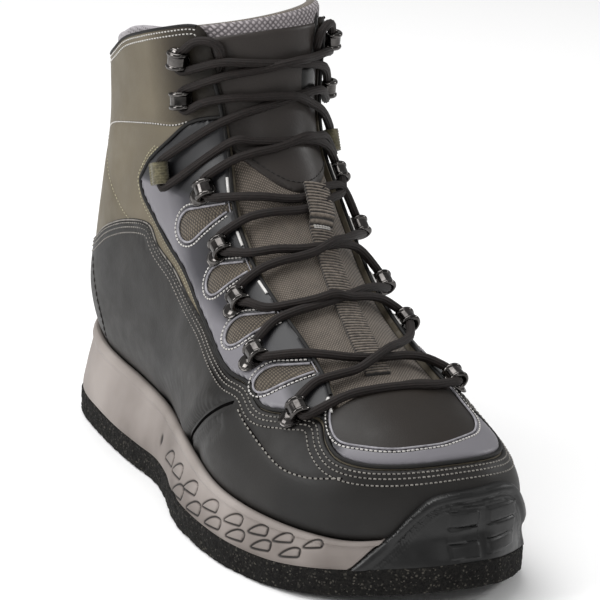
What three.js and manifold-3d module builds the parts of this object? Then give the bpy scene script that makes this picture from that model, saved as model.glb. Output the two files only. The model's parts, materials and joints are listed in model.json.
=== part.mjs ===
// Wading boot for the right foot: felt outsole, moulded midsole, rubber toe bumper, lasted upper and laces.
// Millimetres, +Z up, toe towards -Y, heel towards +Y, outer (little toe) side towards -X.
import * as THREE from 'three';
import { mergeVertices } from 'three/addons/utils/BufferGeometryUtils.js';
import Module from 'manifold-3d';

const wasm = await Module();
wasm.setup();

// Driving dimensions
const bootLength = 312;        // heel back to toe tip of the outsole
const ballWidth = 117;         // upper across the ball of the foot
const heelWidth = 88;          // upper across heel and ankle
const bedHeight = 20;          // floor to the underside of the upper
const instepRise = 136;        // underside of the upper to the bend of the instep
const shaftRise = 64;          // bend of the instep to the collar
const feltThickness = 12;
const toeSpring = 11;          // rise of the felt at the toe tip
const springStart = 240;       // from the heel back to where the sole leaves the floor
const wall = 2.6;              // upper, across its section
const gap = 0.3;               // between pieces that meet
const lip = 3;                 // top edge of the midsole, outside the upper
const lipStep = 0.9;           // lip standing out of the midsole wall
const flange = 16;             // upper turned under, inside the midsole edge
const insoleThickness = 5;
const tongueThickness = 4.5;
const tongueTuck = 9;          // tongue beyond each throat edge, under the upper
const liningThickness = 4;
const liningRise = 6.5;        // lining above the edge of the shell, at the heel back
const liningRiseFront = 1;     // and at the front
const liningDepth = 36;        // lining below the edge of the shell
const lowerStep = 1.0;         // dark lower part of the shell, over the rest
const panelThickness = 1.1;    // lace stay on the upper
const bumperThickness = 2.6;   // toe bumper over the upper
const bumperDepth = 4.5;       // toe bumper, into the front of the midsole
const bumperRib = 1.2;         // frame and blocks standing out of the bumper
const strapThickness = 1.4;    // webbing
const pullLoopWidth = 15;
const laceDiameter = 4.8;
const ringWire = 3;            // bar of rings and hooks
const rivetDiameter = 8;
const rivetHeight = 2.2;
const hookReach = 9;           // hook above the upper

// Sections of the last, from the toe tip to above the collar. Each is an oval between a keel point at the
// bottom or back and a ridge point at the top or front, seen from the side.
// run: share of bootLength from the heel back. rise: share of instepRise, and past 1 of shaftRise.
// outer, inner: half widths as shares of the width here, which goes from heelWidth (fore 0) to ballWidth
// (fore 1). belly: how far the widest place moves to the keel. power: squareness of the oval.
const sectionTable = [
  // ridge run, rise, keel run, rise, outer, inner, fore, belly, power
  [0.971, 0.085, 0.971, 0.019, -0.094, 0.162, 1.00, -0.30, 0.80],
  [0.962, 0.186, 0.962, 0.003, 0.034, 0.274, 1.00, -0.40, 0.80],
  [0.933, 0.276, 0.936, -0.009, 0.197, 0.380, 1.00, -0.50, 0.80],
  [0.885, 0.355, 0.894, -0.002, 0.342, 0.440, 1.00, -0.60, 0.80],
  [0.821, 0.430, 0.827, -0.001, 0.436, 0.474, 1.00, -0.70, 0.82],
  [0.750, 0.515, 0.750, 0.000, 0.496, 0.479, 1.00, -0.80, 0.85],
  [0.683, 0.596, 0.673, 0.000, 0.521, 0.453, 1.00, -0.80, 0.88],
  [0.619, 0.684, 0.583, 0.007, 0.531, 0.449, 0.73, -0.75, 0.88],
  [0.561, 0.787, 0.481, 0.022, 0.509, 0.460, 0.49, -0.70, 0.86],
  [0.510, 0.897, 0.369, 0.029, 0.490, 0.480, 0.27, -0.50, 0.84],
  [0.471, 1.000, 0.240, 0.037, 0.505, 0.494, 0.11, -0.30, 0.82],
  [0.446, 1.188, 0.096, 0.051, 0.523, 0.500, 0.00, -0.20, 0.80],
  [0.433, 1.344, 0.022, 0.184, 0.523, 0.489, 0.00, -0.10, 0.80],
  [0.426, 1.484, 0.010, 0.368, 0.511, 0.477, 0.00, 0.00, 0.82],
  [0.423, 1.609, 0.022, 0.625, 0.500, 0.477, 0.00, 0.00, 0.84],
  [0.420, 1.734, 0.038, 0.882, 0.489, 0.477, 0.00, 0.00, 0.84],
  [0.417, 1.859, 0.038, 1.219, 0.500, 0.489, 0.00, 0.00, 0.84],
  [0.413, 2.000, 0.032, 1.656, 0.511, 0.500, 0.00, 0.00, 0.84],
  [0.407, 2.250, 0.029, 1.906, 0.523, 0.511, 0.00, 0.00, 0.84],
];
const toeRows = 3;             // sections over which growth also moves the toe tip forward
const lastRow = sectionTable.length - 1;

// Outline of the outsole, seen from above. run: share of bootLength from the heel back.
// outer, inner: distance from the middle line, as shares of the width here (fore as above).
const outlineTable = [
  // run, outer, inner, fore
  [0.000, 0.000, 0.000, 0.00],
  [0.010, 0.227, 0.205, 0.00],
  [0.038, 0.398, 0.375, 0.00],
  [0.096, 0.489, 0.466, 0.00],
  [0.176, 0.534, 0.477, 0.00],
  [0.256, 0.562, 0.466, 0.00],
  [0.337, 0.568, 0.455, 0.00],
  [0.401, 0.568, 0.455, 0.00],
  [0.465, 0.567, 0.430, 0.25],
  [0.522, 0.590, 0.418, 0.47],
  [0.583, 0.594, 0.419, 0.71],
  [0.657, 0.568, 0.427, 1.00],
  [0.731, 0.560, 0.474, 1.00],
  [0.795, 0.521, 0.509, 1.00],
  [0.846, 0.470, 0.517, 1.00],
  [0.894, 0.385, 0.487, 1.00],
  [0.936, 0.274, 0.419, 1.00],
  [0.971, 0.145, 0.316, 1.00],
  [0.994, 0.026, 0.222, 1.00],
  [1.000, -0.103, 0.137, 1.00],
];
const outlinePoints = 48;

// Top edge of the midsole. run: share of bootLength. rise: share of instepRise above the bed.
const rimTable = [
  // run, rise
  [-0.048, 0.191],
  [0.029, 0.191],
  [0.080, 0.180],
  [0.112, 0.168],
  [0.151, 0.151],
  [0.221, 0.129],
  [0.321, 0.125],
  [0.449, 0.125],
  [0.561, 0.114],
  [0.641, 0.092],
  [0.737, 0.070],
  [0.801, 0.061],
  [0.865, 0.045],
  [0.913, 0.031],
  [0.952, 0.038],
  [0.971, 0.048],
  [1.019, 0.037],
];

// Edge of the shell at the collar, seen from the side. run and rise as in the sections.
const collarTable = [
  // run, rise
  [-0.05, 1.370],
  [0.04, 1.390],
  [0.10, 1.430],
  [0.15, 1.530],
  [0.20, 1.670],
  [0.26, 1.775],
  [0.32, 1.870],
  [0.36, 1.925],
  [0.375, 1.900],
  [0.385, 1.800],
  [0.393, 1.660],
  [0.410, 1.560],
  [0.450, 1.500],
];

// Edges of the throat on the front of the boot. row: section. outer, inner: distance from the middle line,
// as shares of heelWidth.
const throatTable = [
  // row, outer, inner
  [4.0, 0.300, 0.400],
  [4.7, 0.262, 0.365],
  [5.5, 0.262, 0.325],
  [6.5, 0.284, 0.325],
  [7.7, 0.305, 0.335],
  [8.6, 0.296, 0.350],
  [9.5, 0.284, 0.355],
  [10.9, 0.256, 0.340],
  [13.2, 0.273, 0.330],
  [15.2, 0.307, 0.335],
  [18.0, 0.330, 0.350],
];
const throatStarts = [4.15, 4.60]; // sections where the throat starts, at its outer and inner edge

// Toe bumper, seen from the front: its edge and the edge inside its frame. across: share of ballWidth from the
// middle line. rise: share of instepRise above the bed.
const bumperTable = [
  // across, rise
  [-0.316, -0.093],
  [-0.248, -0.026],
  [-0.188, 0.029],
  [-0.128, 0.099],
  [-0.073, 0.146],
  [-0.026, 0.168],
  [0.043, 0.179],
  [0.137, 0.183],
  [0.256, 0.187],
  [0.325, 0.165],
  [0.376, 0.106],
  [0.419, 0.032],
  [0.462, -0.085],
];
const frameTable = [
  // across, rise
  [-0.120, -0.012],
  [-0.068, 0.032],
  [-0.009, 0.113],
  [0.020, 0.135],
  [0.128, 0.150],
  [0.282, 0.157],
  [0.325, 0.130],
  [0.346, 0.076],
  [0.368, -0.026],
];
const blockColumns = [[0.017, 0.137], [0.175, 0.316]];
const blockRows = [[-0.023, 0.014], [0.025, 0.065], [0.076, 0.124]];
const bumperBack = 0.84;       // share of bootLength that the bumper doesn't reach

// Edge of the dark lower part of the shell, seen from the side, a step in the wall
const lowerTable = [
  // run, rise
  [-0.060, 0.480],
  [0.020, 0.490],
  [0.105, 0.537],
  [0.176, 0.632],
  [0.250, 0.699],
  [0.317, 0.724],
  [0.352, 0.669],
  [0.404, 0.625],
  [0.458, 0.559],
  [0.529, 0.511],
  [0.580, 0.470],
  [0.640, 0.430],
  [0.690, 0.420],
  [0.731, 0.375],
  [0.780, 0.382],
  [0.812, 0.378],
  [0.845, 0.320],
  [0.878, 0.278],
  [0.925, 0.255],
  [1.000, 0.250],
];

// Edge of the lace stay behind the eyelets, seen from the side
const stayTable = [
  // run, rise
  [0.285, 0.860],
  [0.305, 0.800],
  [0.365, 0.712],
  [0.420, 0.652],
  [0.480, 0.572],
  [0.535, 0.522],
  [0.590, 0.478],
];
const stayTopTable = [
  // run, rise
  [0.430, 1.300],
  [0.380, 1.225],
  [0.343, 1.045],
  [0.304, 0.935],
];

// Windows in the lace stay, seen from the side. round, round rise: middle of the round end. tip, tip rise: the
// narrow end towards the throat. size: radius of the round end, as a share of instepRise.
const windowTable = [
  // round, round rise, tip, tip rise, size
  [0.420, 0.775, 0.480, 0.880, 0.050],
  [0.515, 0.650, 0.567, 0.735, 0.045],
  [0.612, 0.545, 0.655, 0.620, 0.042],
  [0.712, 0.452, 0.752, 0.510, 0.036],
];

// Vamp insert inside the toe end of the stay, seen from above. across: share of ballWidth.
const insertTable = [
  // run, across
  [0.790, -0.215],
  [0.822, -0.262],
  [0.850, -0.272],
  [0.872, -0.235],
  [0.897, -0.150],
  [0.910, -0.060],
  [0.914, 0.070],
  [0.902, 0.190],
  [0.885, 0.255],
  [0.850, 0.300],
  [0.815, 0.298],
  [0.780, 0.290],
];

// Eyelets from the toe end up. row: section of the eyelet on the front of the boot. outer, inner: distance from
// the middle line, as shares of heelWidth.
const ringTable = [
  // outer row, outer, inner row, inner
  [4.50, 0.440, 4.70, 0.415],
  [6.10, 0.477, 6.60, 0.385],
  [7.42, 0.425, 7.80, 0.395],
  [8.76, 0.383, 9.25, 0.410],
  [10.20, 0.370, 10.70, 0.395],
];
const loopTable = [[11.65, 0.460, 12.10, 0.410]];
const hookTable = [
  // outer row, outer, inner row, inner
  [13.93, 0.405, 14.30, 0.420],
  [15.60, 0.415, 16.05, 0.430],
];

const colours = {
  felt: 0x35332f,
  midsole: 0x9a9089,
  rubber: 0x1c1d1c,
  leather: 0x3b3836,
  stay: 0x8d8a92,
  mesh: 0x6b6158,
  webbing: 0x6e655c,
  olive: 0x5e5843,
  lining: 0x8b8786,
  metal: 0x4a4c4b,
  lace: 0x3a322e,
};

function finish(colour, roughness, metalness = 0) {
  return new THREE.MeshStandardMaterial({ color: colour, roughness, metalness });
}

const materials = {
  felt: finish(colours.felt, 0.95),
  midsole: finish(colours.midsole, 0.75),
  rubber: finish(colours.rubber, 0.55),
  leather: finish(colours.leather, 0.6),
  stay: finish(colours.stay, 0.55),
  mesh: finish(colours.mesh, 0.85),
  webbing: finish(colours.webbing, 0.85),
  olive: finish(colours.olive, 0.8),
  lining: finish(colours.lining, 0.9),
  metal: finish(colours.metal, 0.3, 1),
  lace: finish(colours.lace, 0.85),
};

const mix = (a, b, share) => a + (b - a) * share;
const mixPoint = (a, b, share) => a.map((value, axis) => mix(value, b[axis], share));
const turn = (degrees) => THREE.MathUtils.degToRad(degrees);
const bisectSteps = 30;

// Smooth value of a table's columns at a place between its rows
function between(rows, place) {
  const index = THREE.MathUtils.clamp(Math.floor(place), 0, rows.length - 2);
  const share = place - index;
  const before = rows[Math.max(index - 1, 0)];
  const start = rows[index];
  const end = rows[index + 1];
  const after = rows[Math.min(index + 2, rows.length - 1)];
  return start.map((value, column) => {
    const slopeIn = (end[column] - before[column]) / 2;
    const slopeOut = (after[column] - value) / 2;
    const rise = end[column] - value;
    const curve = 3 * rise - 2 * slopeIn - slopeOut;
    const bend = slopeIn + slopeOut - 2 * rise;
    return value + share * (slopeIn + share * (curve + share * bend));
  });
}

// Value of a table whose first column is the place, at any place along it
function lookUp(rows, place) {
  const last = rows.length - 2;
  let index = 0;
  while (index < last && rows[index + 1][0] < place) index += 1;
  const share = (place - rows[index][0]) / (rows[index + 1][0] - rows[index][0]);
  return between(rows, index + THREE.MathUtils.clamp(share, 0, 1));
}

// Place where a rising function passes zero
function solve(rising, low, high) {
  let [a, b] = [low, high];
  for (let step = 0; step < bisectSteps; step += 1) {
    const middle = (a + b) / 2;
    if (rising(middle) < 0) a = middle;
    else b = middle;
  }
  return (a + b) / 2;
}

const alongY = (run) => bootLength / 2 - run;

function toeLift(run) {
  const past = Math.max(0, run - springStart);
  return toeSpring * (past / (bootLength - springStart)) ** 2;
}

function height(rise) {
  if (rise <= 1) return bedHeight + rise * instepRise;
  return bedHeight + instepRise + (rise - 1) * shaftRise;
}

const sections = sectionTable.map(([ridgeRun, ridgeRise, keelRun, keelRise, outer, inner, fore, belly, power]) => {
  const width = mix(heelWidth, ballWidth, fore);
  const ridge = ridgeRun * bootLength;
  const keel = keelRun * bootLength;
  const ridgeHeight = height(ridgeRise) + toeLift(ridge);
  const keelHeight = height(keelRise) + toeLift(keel);
  return [ridge, ridgeHeight, keel, keelHeight, outer * width, inner * width, belly, power];
});

const signedPower = (value, power) => Math.sign(value) * Math.abs(value) ** power;

// Point on the last: row is the section, angle goes from the keel (0) over the outer side to the ridge (180)
// and back over the inner side. grow moves the surface out.
function lastPoint(row, angle, grow = 0) {
  const [ridge, ridgeHeight, keel, keelHeight, outer, inner, belly, power] = between(sections, row);
  const length = Math.hypot(ridge - keel, ridgeHeight - keelHeight);
  const runWay = (ridge - keel) / length;
  const riseWay = (ridgeHeight - keelHeight) / length;
  const forward = grow * Math.max(0, 1 - row / toeRows);
  const up = (1 - signedPower(Math.cos(angle), power)) / 2;
  const share = up + belly * up * (1 - up);
  const way = share * (length + 2 * grow) - grow;
  const run = keel + runWay * way + forward;
  const z = keelHeight + riseWay * way;
  const half = (outer + inner) / 2 + grow;
  const x = (inner - outer) / 2 - half * signedPower(Math.sin(angle), power);
  return [x, alongY(run), z];
}

// Point on the front of the last at a distance from the middle line, outer side negative
function frontPoint(row, x, grow = 0) {
  const [, , , , outer, inner, , power] = between(sections, row);
  const across = ((inner - outer) / 2 - x) / ((outer + inner) / 2);
  const sine = THREE.MathUtils.clamp(Math.abs(across), 0, 1) ** (1 / power);
  return lastPoint(row, Math.PI - Math.sign(across) * Math.asin(sine), grow);
}

// Solids

function toGeometry(points, faces) {
  const geometry = new THREE.BufferGeometry();
  geometry.setAttribute('position', new THREE.Float32BufferAttribute(points.flat(), 3));
  geometry.setIndex(faces.flat());
  return geometry;
}

// Turns the faces round where the solid is inside out
function faceOut(points, faces) {
  const corners = points.map((point) => new THREE.Vector3(...point));
  const volume = faces.reduce((sum, [a, b, c]) => {
    return sum + corners[a].dot(new THREE.Vector3().crossVectors(corners[b], corners[c]));
  }, 0);
  return volume > 0 ? faces : faces.map(([a, b, c]) => [a, c, b]);
}

const loop = (index, size) => (index + size) % size;

// Closed rings joined one after another, with both ends closed by a fan, or by rungs from side to side
function loft(rings, rungs = false) {
  const size = rings[0].length;
  const points = rings.flat();
  const faces = [];
  for (let ring = 0; ring + 1 < rings.length; ring += 1) {
    for (let i = 0; i < size; i += 1) {
      const a = ring * size + i;
      const b = ring * size + loop(i + 1, size);
      faces.push([a, b, a + size], [b, b + size, a + size]);
    }
  }
  [0, rings.length - 1].forEach((ring) => {
    const start = ring * size;
    const flip = ring > 0;
    const add = (a, b, c) => faces.push(flip ? [a, b, c] : [a, c, b]);
    if (rungs) {
      for (let i = 0; i < size / 2; i += 1) {
        const [a, b] = [start + i, start + i + 1];
        const [c, d] = [start + loop(size - i - 1, size), start + loop(size - i, size)];
        if (c !== b) add(a, b, c);
        if (d !== a) add(a, c, d);
      }
      return;
    }
    const centre = points.length;
    const sum = rings[ring].reduce((total, point) => total.map((value, axis) => value + point[axis]), [0, 0, 0]);
    points.push(sum.map((value) => value / size));
    for (let i = 0; i < size; i += 1) add(start + i, start + loop(i + 1, size), centre);
  });
  return toGeometry(points, faceOut(points, faces));
}

// Two open sheets of the same size, joined along their edges
function slab(top, bottom) {
  const rows = top.length;
  const columns = top[0].length;
  const points = [...top.flat(), ...bottom.flat()];
  const under = rows * columns;
  const at = (row, column) => row * columns + column;
  const faces = [];
  const quad = (a, b, c, d) => faces.push([a, b, c], [a, c, d]);
  for (let row = 0; row + 1 < rows; row += 1) {
    for (let column = 0; column + 1 < columns; column += 1) {
      const [a, b] = [at(row, column), at(row, column + 1)];
      const [c, d] = [at(row + 1, column + 1), at(row + 1, column)];
      quad(a, b, c, d);
      quad(under + d, under + c, under + b, under + a);
    }
  }
  const edge = [];
  for (let column = 0; column + 1 < columns; column += 1) edge.push(at(0, column));
  for (let row = 0; row + 1 < rows; row += 1) edge.push(at(row, columns - 1));
  for (let column = columns - 1; column > 0; column -= 1) edge.push(at(rows - 1, column));
  for (let row = rows - 1; row > 0; row -= 1) edge.push(at(row, 0));
  edge.forEach((a, index) => {
    const b = edge[loop(index + 1, edge.length)];
    quad(b, a, under + a, under + b);
  });
  return toGeometry(points, faceOut(points, faces));
}

// Prism of a side view, across the whole boot
function acrossPrism(outline, halfWidth) {
  const shape = new THREE.Shape(outline.map(([run, z]) => new THREE.Vector2(alongY(run), z)));
  const geometry = new THREE.ExtrudeGeometry(shape, { depth: 2 * halfWidth, bevelEnabled: false });
  const axes = [new THREE.Vector3(0, 1, 0), new THREE.Vector3(0, 0, 1), new THREE.Vector3(1, 0, 0)];
  geometry.applyMatrix4(new THREE.Matrix4().makeBasis(...axes));
  return geometry.translate(-halfWidth, 0, 0);
}

// Round bar along a smooth curve
function bar(points, diameter, sides, steps) {
  const shape = new THREE.Shape();
  for (let side = 0; side < sides; side += 1) {
    const angle = (2 * Math.PI * side) / sides;
    const corner = [(Math.cos(angle) * diameter) / 2, (Math.sin(angle) * diameter) / 2];
    if (side === 0) shape.moveTo(...corner);
    else shape.lineTo(...corner);
  }
  shape.closePath();
  const curve = new THREE.CatmullRomCurve3(points.map((point) => new THREE.Vector3(...point)));
  return new THREE.ExtrudeGeometry(shape, { steps, bevelEnabled: false, extrudePath: curve });
}

function toSolid(geometry) {
  const bare = geometry.clone();
  bare.deleteAttribute('normal');
  bare.deleteAttribute('uv');
  const merged = mergeVertices(bare, 1e-4);
  const vertProperties = Float32Array.from(merged.attributes.position.array);
  const triVerts = Uint32Array.from(merged.index.array);
  return new wasm.Manifold(new wasm.Mesh({ numProp: 3, vertProperties, triVerts }));
}

function fromSolid(solid) {
  const mesh = solid.getMesh();
  const geometry = new THREE.BufferGeometry();
  geometry.setAttribute('position', new THREE.BufferAttribute(Float32Array.from(mesh.vertProperties), 3));
  geometry.setIndex(new THREE.BufferAttribute(Uint32Array.from(mesh.triVerts), 1));
  return geometry;
}

const group = new THREE.Group();

function place(name, geometry, material) {
  geometry.computeVertexNormals();
  const mesh = new THREE.Mesh(geometry, material);
  mesh.name = name;
  group.add(mesh);
}

// Rings round the boot

function spacedRing(points, count) {
  const curve = new THREE.CatmullRomCurve3(points.map((point) => new THREE.Vector3(...point)), true);
  return curve.getSpacedPoints(count).slice(0, count).map((point) => point.toArray());
}

// Outline of the outsole at a height above the felt's underside, moved in by inset
function outlineRing(level, inset = 0) {
  const side = (sign, column) => outlineTable.map((row) => {
    const width = mix(heelWidth, ballWidth, row[3]);
    return [sign * row[column] * width, alongY(row[0] * bootLength), 0];
  });
  const outer = side(-1, 1);
  const inner = side(1, 2).slice(1).reverse();
  const ring = spacedRing([...outer, ...inner], outlinePoints);
  return ring.map((point, index) => {
    const [nx, ny] = outward(ring, index);
    const y = point[1] - ny * inset;
    return [point[0] - nx * inset, y, level + toeLift(bootLength / 2 - y)];
  });
}

// Level direction that points out of a ring, which runs from the heel over the outer side
function outward(ring, index) {
  const before = ring[loop(index - 1, ring.length)];
  const after = ring[loop(index + 1, ring.length)];
  const [dx, dy] = [after[0] - before[0], after[1] - before[1]];
  const length = Math.hypot(dx, dy);
  return [dy / length, -dx / length];
}

function rimHeight(run) {
  return height(lookUp(rimTable, run / bootLength)[1]) + toeLift(run);
}

// Ring where the last, grown, passes the height of the midsole's top edge
function rimRing(grow) {
  const above = (row, angle) => {
    const [, y, z] = lastPoint(row, angle, grow);
    return z - rimHeight(bootLength / 2 - y);
  };
  const backRow = solve((row) => above(row, 0), rimBackRow - 1, rimBackRow + 1);
  const side = (sign) => {
    const points = [];
    for (let step = 1; step <= rimSteps; step += 1) {
      const row = backRow * (1 - (step / rimSteps) ** rimCrowding);
      const angle = solve((value) => above(row, sign * value), 0, rimAngleLimit);
      points.push(lastPoint(row, sign * angle, grow));
    }
    return points;
  };
  return spacedRing([lastPoint(backRow, 0, grow), ...side(1), ...side(-1).reverse()], outlinePoints);
}
const rimBackRow = 12;         // section that passes the edge near the heel back
const rimSteps = 16;
const rimCrowding = 1.7;
const rimAngleLimit = turn(150);

// The last itself
const lastSides = 22;
const innerSides = 22;
const lastRows = [0, 0.4, 0.8, 1.3, 2, 3, 4, 5, 6, 7, 8, 9, 10, 11, 12, 13, 14.5, 16, lastRow];

function lastLoft(grow, sides = lastSides) {
  return toSolid(loft(lastRows.map((row) => {
    const ring = [];
    for (let side = 0; side < sides; side += 1) ring.push(lastPoint(row, (2 * Math.PI * side) / sides, grow));
    return ring;
  })));
}

const reach = bootLength;      // cutters go past everything

// Everything under the insole's top, as a side view that follows the keel
function underInsole(rise) {
  const floor = [];
  for (let row = 0; row <= heelSeatRow; row += 1) {
    const [, , keel, keelHeight] = sections[row];
    floor.push([keel, keelHeight + rise]);
  }
  const [, , heelRun, heelHeight] = sections[heelSeatRow];
  const start = [reach, floor[0][1]];
  return acrossPrism([start, ...floor, [heelRun - reach, heelHeight + rise], [heelRun - reach, 0], [reach, 0]], reach);
}
const heelSeatRow = 11;

// Straight opening under the foot, inside the edge of the midsole by inset
function underOpening(inset) {
  const rim = rimRing(0);
  const top = rim.map(([x, y, z], index) => {
    const [nx, ny] = outward(rim, index);
    return [x - nx * inset, y - ny * inset, z];
  });
  return loft([top.map(([x, y]) => [x, y, 0]), top], true);
}

function collarLine() {
  const curve = new THREE.CatmullRomCurve3(
    collarTable.map(([run, rise]) => new THREE.Vector3(run * bootLength, height(rise), 0)),
  );
  return curve.getPoints(collarSteps).map((point) => [point.x, point.y]);
}
const collarSteps = 22;

function overCollar() {
  const line = collarLine();
  const top = height(2) + reach;
  const ends = [[line.at(-1)[0] + reach, line.at(-1)[1]], [line.at(-1)[0] + reach, top], [line[0][0] - reach, top]];
  return acrossPrism([...line, ...ends], reach);
}

// Sheet on the front of the boot. starts, ends: its sections at the outer and the inner edge.
function frontSheet(starts, ends, widen, grow, rows, columns) {
  const sheet = [];
  for (let step = 0; step <= rows; step += 1) {
    const line = [];
    for (let column = 0; column <= columns; column += 1) {
      const across = column / columns;
      const row = mix(mix(...starts, across), mix(...ends, across), step / rows);
      const [, outer, inner] = lookUp(throatTable, row);
      const x = mix(-outer * heelWidth - widen, inner * heelWidth + widen, across);
      line.push(frontPoint(row, x, grow));
    }
    sheet.push(line);
  }
  return sheet;
}

function throatSheet(grow, widen) {
  return frontSheet(throatStarts, [lastRow, lastRow], widen, grow, throatSteps, 3);
}

function throatCutter() {
  return slab(throatSheet(throatOver, 0), throatSheet(-throatUnder, 0));
}
const throatSteps = 18;
const throatOver = 8;
const throatUnder = 9;

// Smooth line through a table of places in the side view
function sideLine(table, steps, raise = 0) {
  const curve = new THREE.CatmullRomCurve3(table.map(([run, rise]) => {
    const along = run * bootLength;
    return new THREE.Vector3(along, height(rise) + toeLift(along) + raise, 0);
  }));
  return curve.getPoints(steps).map((point) => [point.x, point.y]);
}

const lowerSteps = 20;

// The dark lower part stands out of the upper by a step
function upper() {
  const line = sideLine(lowerTable, lowerSteps);
  const below = acrossPrism([...line, [line.at(-1)[0], 0], [line[0][0], 0]], reach);
  const step = lastLoft(lowerStep).intersect(toSolid(below));
  const shell = lastLoft(0).add(step).subtract(lastLoft(-wall, innerSides));
  const cutters = [overCollar(), throatCutter(), underOpening(flange)];
  return cutters.reduce((solid, cutter) => solid.subtract(toSolid(cutter)), shell);
}

function insole() {
  const inside = lastLoft(-wall - gap, innerSides);
  const plug = lastLoft(0).intersect(toSolid(underOpening(flange + gap)));
  return inside.add(plug).intersect(toSolid(underInsole(wall + gap + insoleThickness)));
}

// Lace stay on both sides of the throat, joined round the toe end, with windows and the vamp insert cut out
function laceStay() {
  const lower = sideLine(lowerTable, lowerSteps, stayMargin).filter(([run]) => run > stayTable.at(-1)[0] * bootLength);
  const back = sideLine(stayTable, staySteps);
  const top = sideLine(stayTopTable, stayTopSteps);
  const over = [[lower.at(-1)[0] + reach, lower.at(-1)[1]], [lower.at(-1)[0] + reach, reach], [top[0][0], reach]];
  const side = toSolid(acrossPrism([...back, ...lower, ...over, ...top], reach));
  const sheet = lastLoft(gap + panelThickness).subtract(lastLoft(gap)).intersect(side);
  const widerThroat = toSolid(slab(throatSheet(throatOver, stayBack), throatSheet(-throatUnder, stayBack)));
  return [widerThroat, toSolid(insertPrism()), ...windowTable.map(windowPrism)].reduce(
    (solid, cutter) => solid.subtract(cutter),
    sheet,
  );
}
const staySteps = 8;
const stayTopSteps = 5;
const stayTop = gap + panelThickness;
const stayMargin = 1.6;        // from the stay to the step of the dark lower part
const stayBack = 1.2;          // from the stay to the edge of the throat

function windowPrism([round, roundRise, tip, tipRise, size]) {
  const radius = size * instepRise;
  const centre = [round * bootLength, height(roundRise)];
  const end = [tip * bootLength, height(tipRise)];
  const way = Math.atan2(end[1] - centre[1], end[0] - centre[0]);
  const outline = [end];
  for (let step = 1; step <= windowSteps; step += 1) {
    const angle = way + turn(mix(windowOpen, 360 - windowOpen, (step - 1) / (windowSteps - 1)));
    outline.push([centre[0] + radius * Math.cos(angle), centre[1] + radius * Math.sin(angle)]);
  }
  return toSolid(acrossPrism(outline, reach));
}
const windowSteps = 6;
const windowOpen = 65;

const insertSteps = 13;

function insertPrism() {
  const curve = new THREE.CatmullRomCurve3(
    insertTable.map(([run, across]) => new THREE.Vector3(across * ballWidth, alongY(run * bootLength), 0)),
  );
  const shape = new THREE.Shape(curve.getPoints(insertSteps).map((point) => new THREE.Vector2(point.x, point.y)));
  return new THREE.ExtrudeGeometry(shape, { depth: reach, bevelEnabled: false });
}

// Everything under a level that follows the felt, flat at the heel and ball and rising at the toe
function underLevel(level) {
  const line = [[-reach, level]];
  for (let step = 0; step <= springSteps; step += 1) {
    const run = mix(springStart, bootLength * 1.05, step / springSteps);
    line.push([run, level + toeLift(run)]);
  }
  return toSolid(acrossPrism([...line, [line.at(-1)[0], -reach], [-reach, -reach]], reach));
}
const springSteps = 10;

function outsole() {
  const levels = [[0, feltRound], [feltRound, 0], [feltThickness + 1, 0]];
  const sheet = toSolid(loft(levels.map(([level, inset]) => outlineRing(level, inset)), true));
  return sheet.intersect(underLevel(feltThickness));
}
const feltRound = 1;

// Wall of the midsole between the felt's outline and its own top edge. share: way up, out: standing out.
function wallRing(share, out) {
  const foot = outlineRing(feltThickness + gap, wallInset);
  const rim = rimRing(lip);
  const middle = foot.map((point, index) => mixPoint(point, rim[index], share));
  return middle.map((point, index) => {
    const [nx, ny] = outward(middle, index);
    return [point[0] + nx * out, point[1] + ny * out, point[2]];
  });
}
const wallInset = 0.6;
const wallLevels = [
  // share, out
  [0, 0],
  [0.12, 0.5],
  [0.45, 0.4],
  [0.78, 0],
  [0.84, lipStep],
  [0.95, lipStep],
  [1, 0],
];

function wallBlock(out, levels = wallLevels) {
  const rings = levels.map(([share, step]) => wallRing(share, step + out));
  rings.unshift(rings[0].map(([x, y, z]) => [x, y, z - feltThickness / 2]));
  return toSolid(loft(rings, true));
}
const plainWall = [[0, 0], [1, 0]];

// Prism of a front view, over the toe
function toePrism(table, steps, margin = 0) {
  const curve = new THREE.CatmullRomCurve3(table.map(([across, rise]) => {
    return new THREE.Vector3(across * ballWidth, height(rise) + toeSpring * toeFrontLift, 0);
  }), false, 'catmullrom', 0.4);
  const line = curve.getPoints(steps).map((point) => [point.x, point.y]);
  const middle = [(line[0][0] + line.at(-1)[0]) / 2, 0];
  const outline = line.map(([x, z]) => {
    const length = Math.hypot(x - middle[0], z - middle[1]);
    return [x + ((x - middle[0]) / length) * margin, z + ((z - middle[1]) / length) * margin];
  });
  return frontPrism([...outline, [outline.at(-1)[0], 0], [outline[0][0], 0]], toePrismStart() + margin, reach);
}
const bumperSteps = 14;
const frameSteps = 9;
const toeFrontLift = 0.7;      // share of the toe spring at the front of the bumper

// Prism of a front view, from a place along Y towards the toe
function frontPrism(outline, start, depth) {
  const shape = new THREE.Shape(outline.map(([x, z]) => new THREE.Vector2(x, z)));
  const geometry = new THREE.ExtrudeGeometry(shape, { depth, bevelEnabled: false });
  const axes = [new THREE.Vector3(1, 0, 0), new THREE.Vector3(0, 0, 1), new THREE.Vector3(0, -1, 0)];
  geometry.applyMatrix4(new THREE.Matrix4().makeBasis(...axes));
  return toSolid(geometry.translate(0, start, 0));
}

const toePrismStart = () => alongY(bumperBack * bootLength);

function midsole() {
  const toeCut = toePrism(bumperTable, bumperSteps, gap).subtract(wallBlock(-bumperDepth - gap, plainWall));
  return wallBlock(0).subtract(lastLoft(lowerStep + gap)).subtract(toeCut).subtract(underLevel(feltThickness + gap));
}

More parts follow.
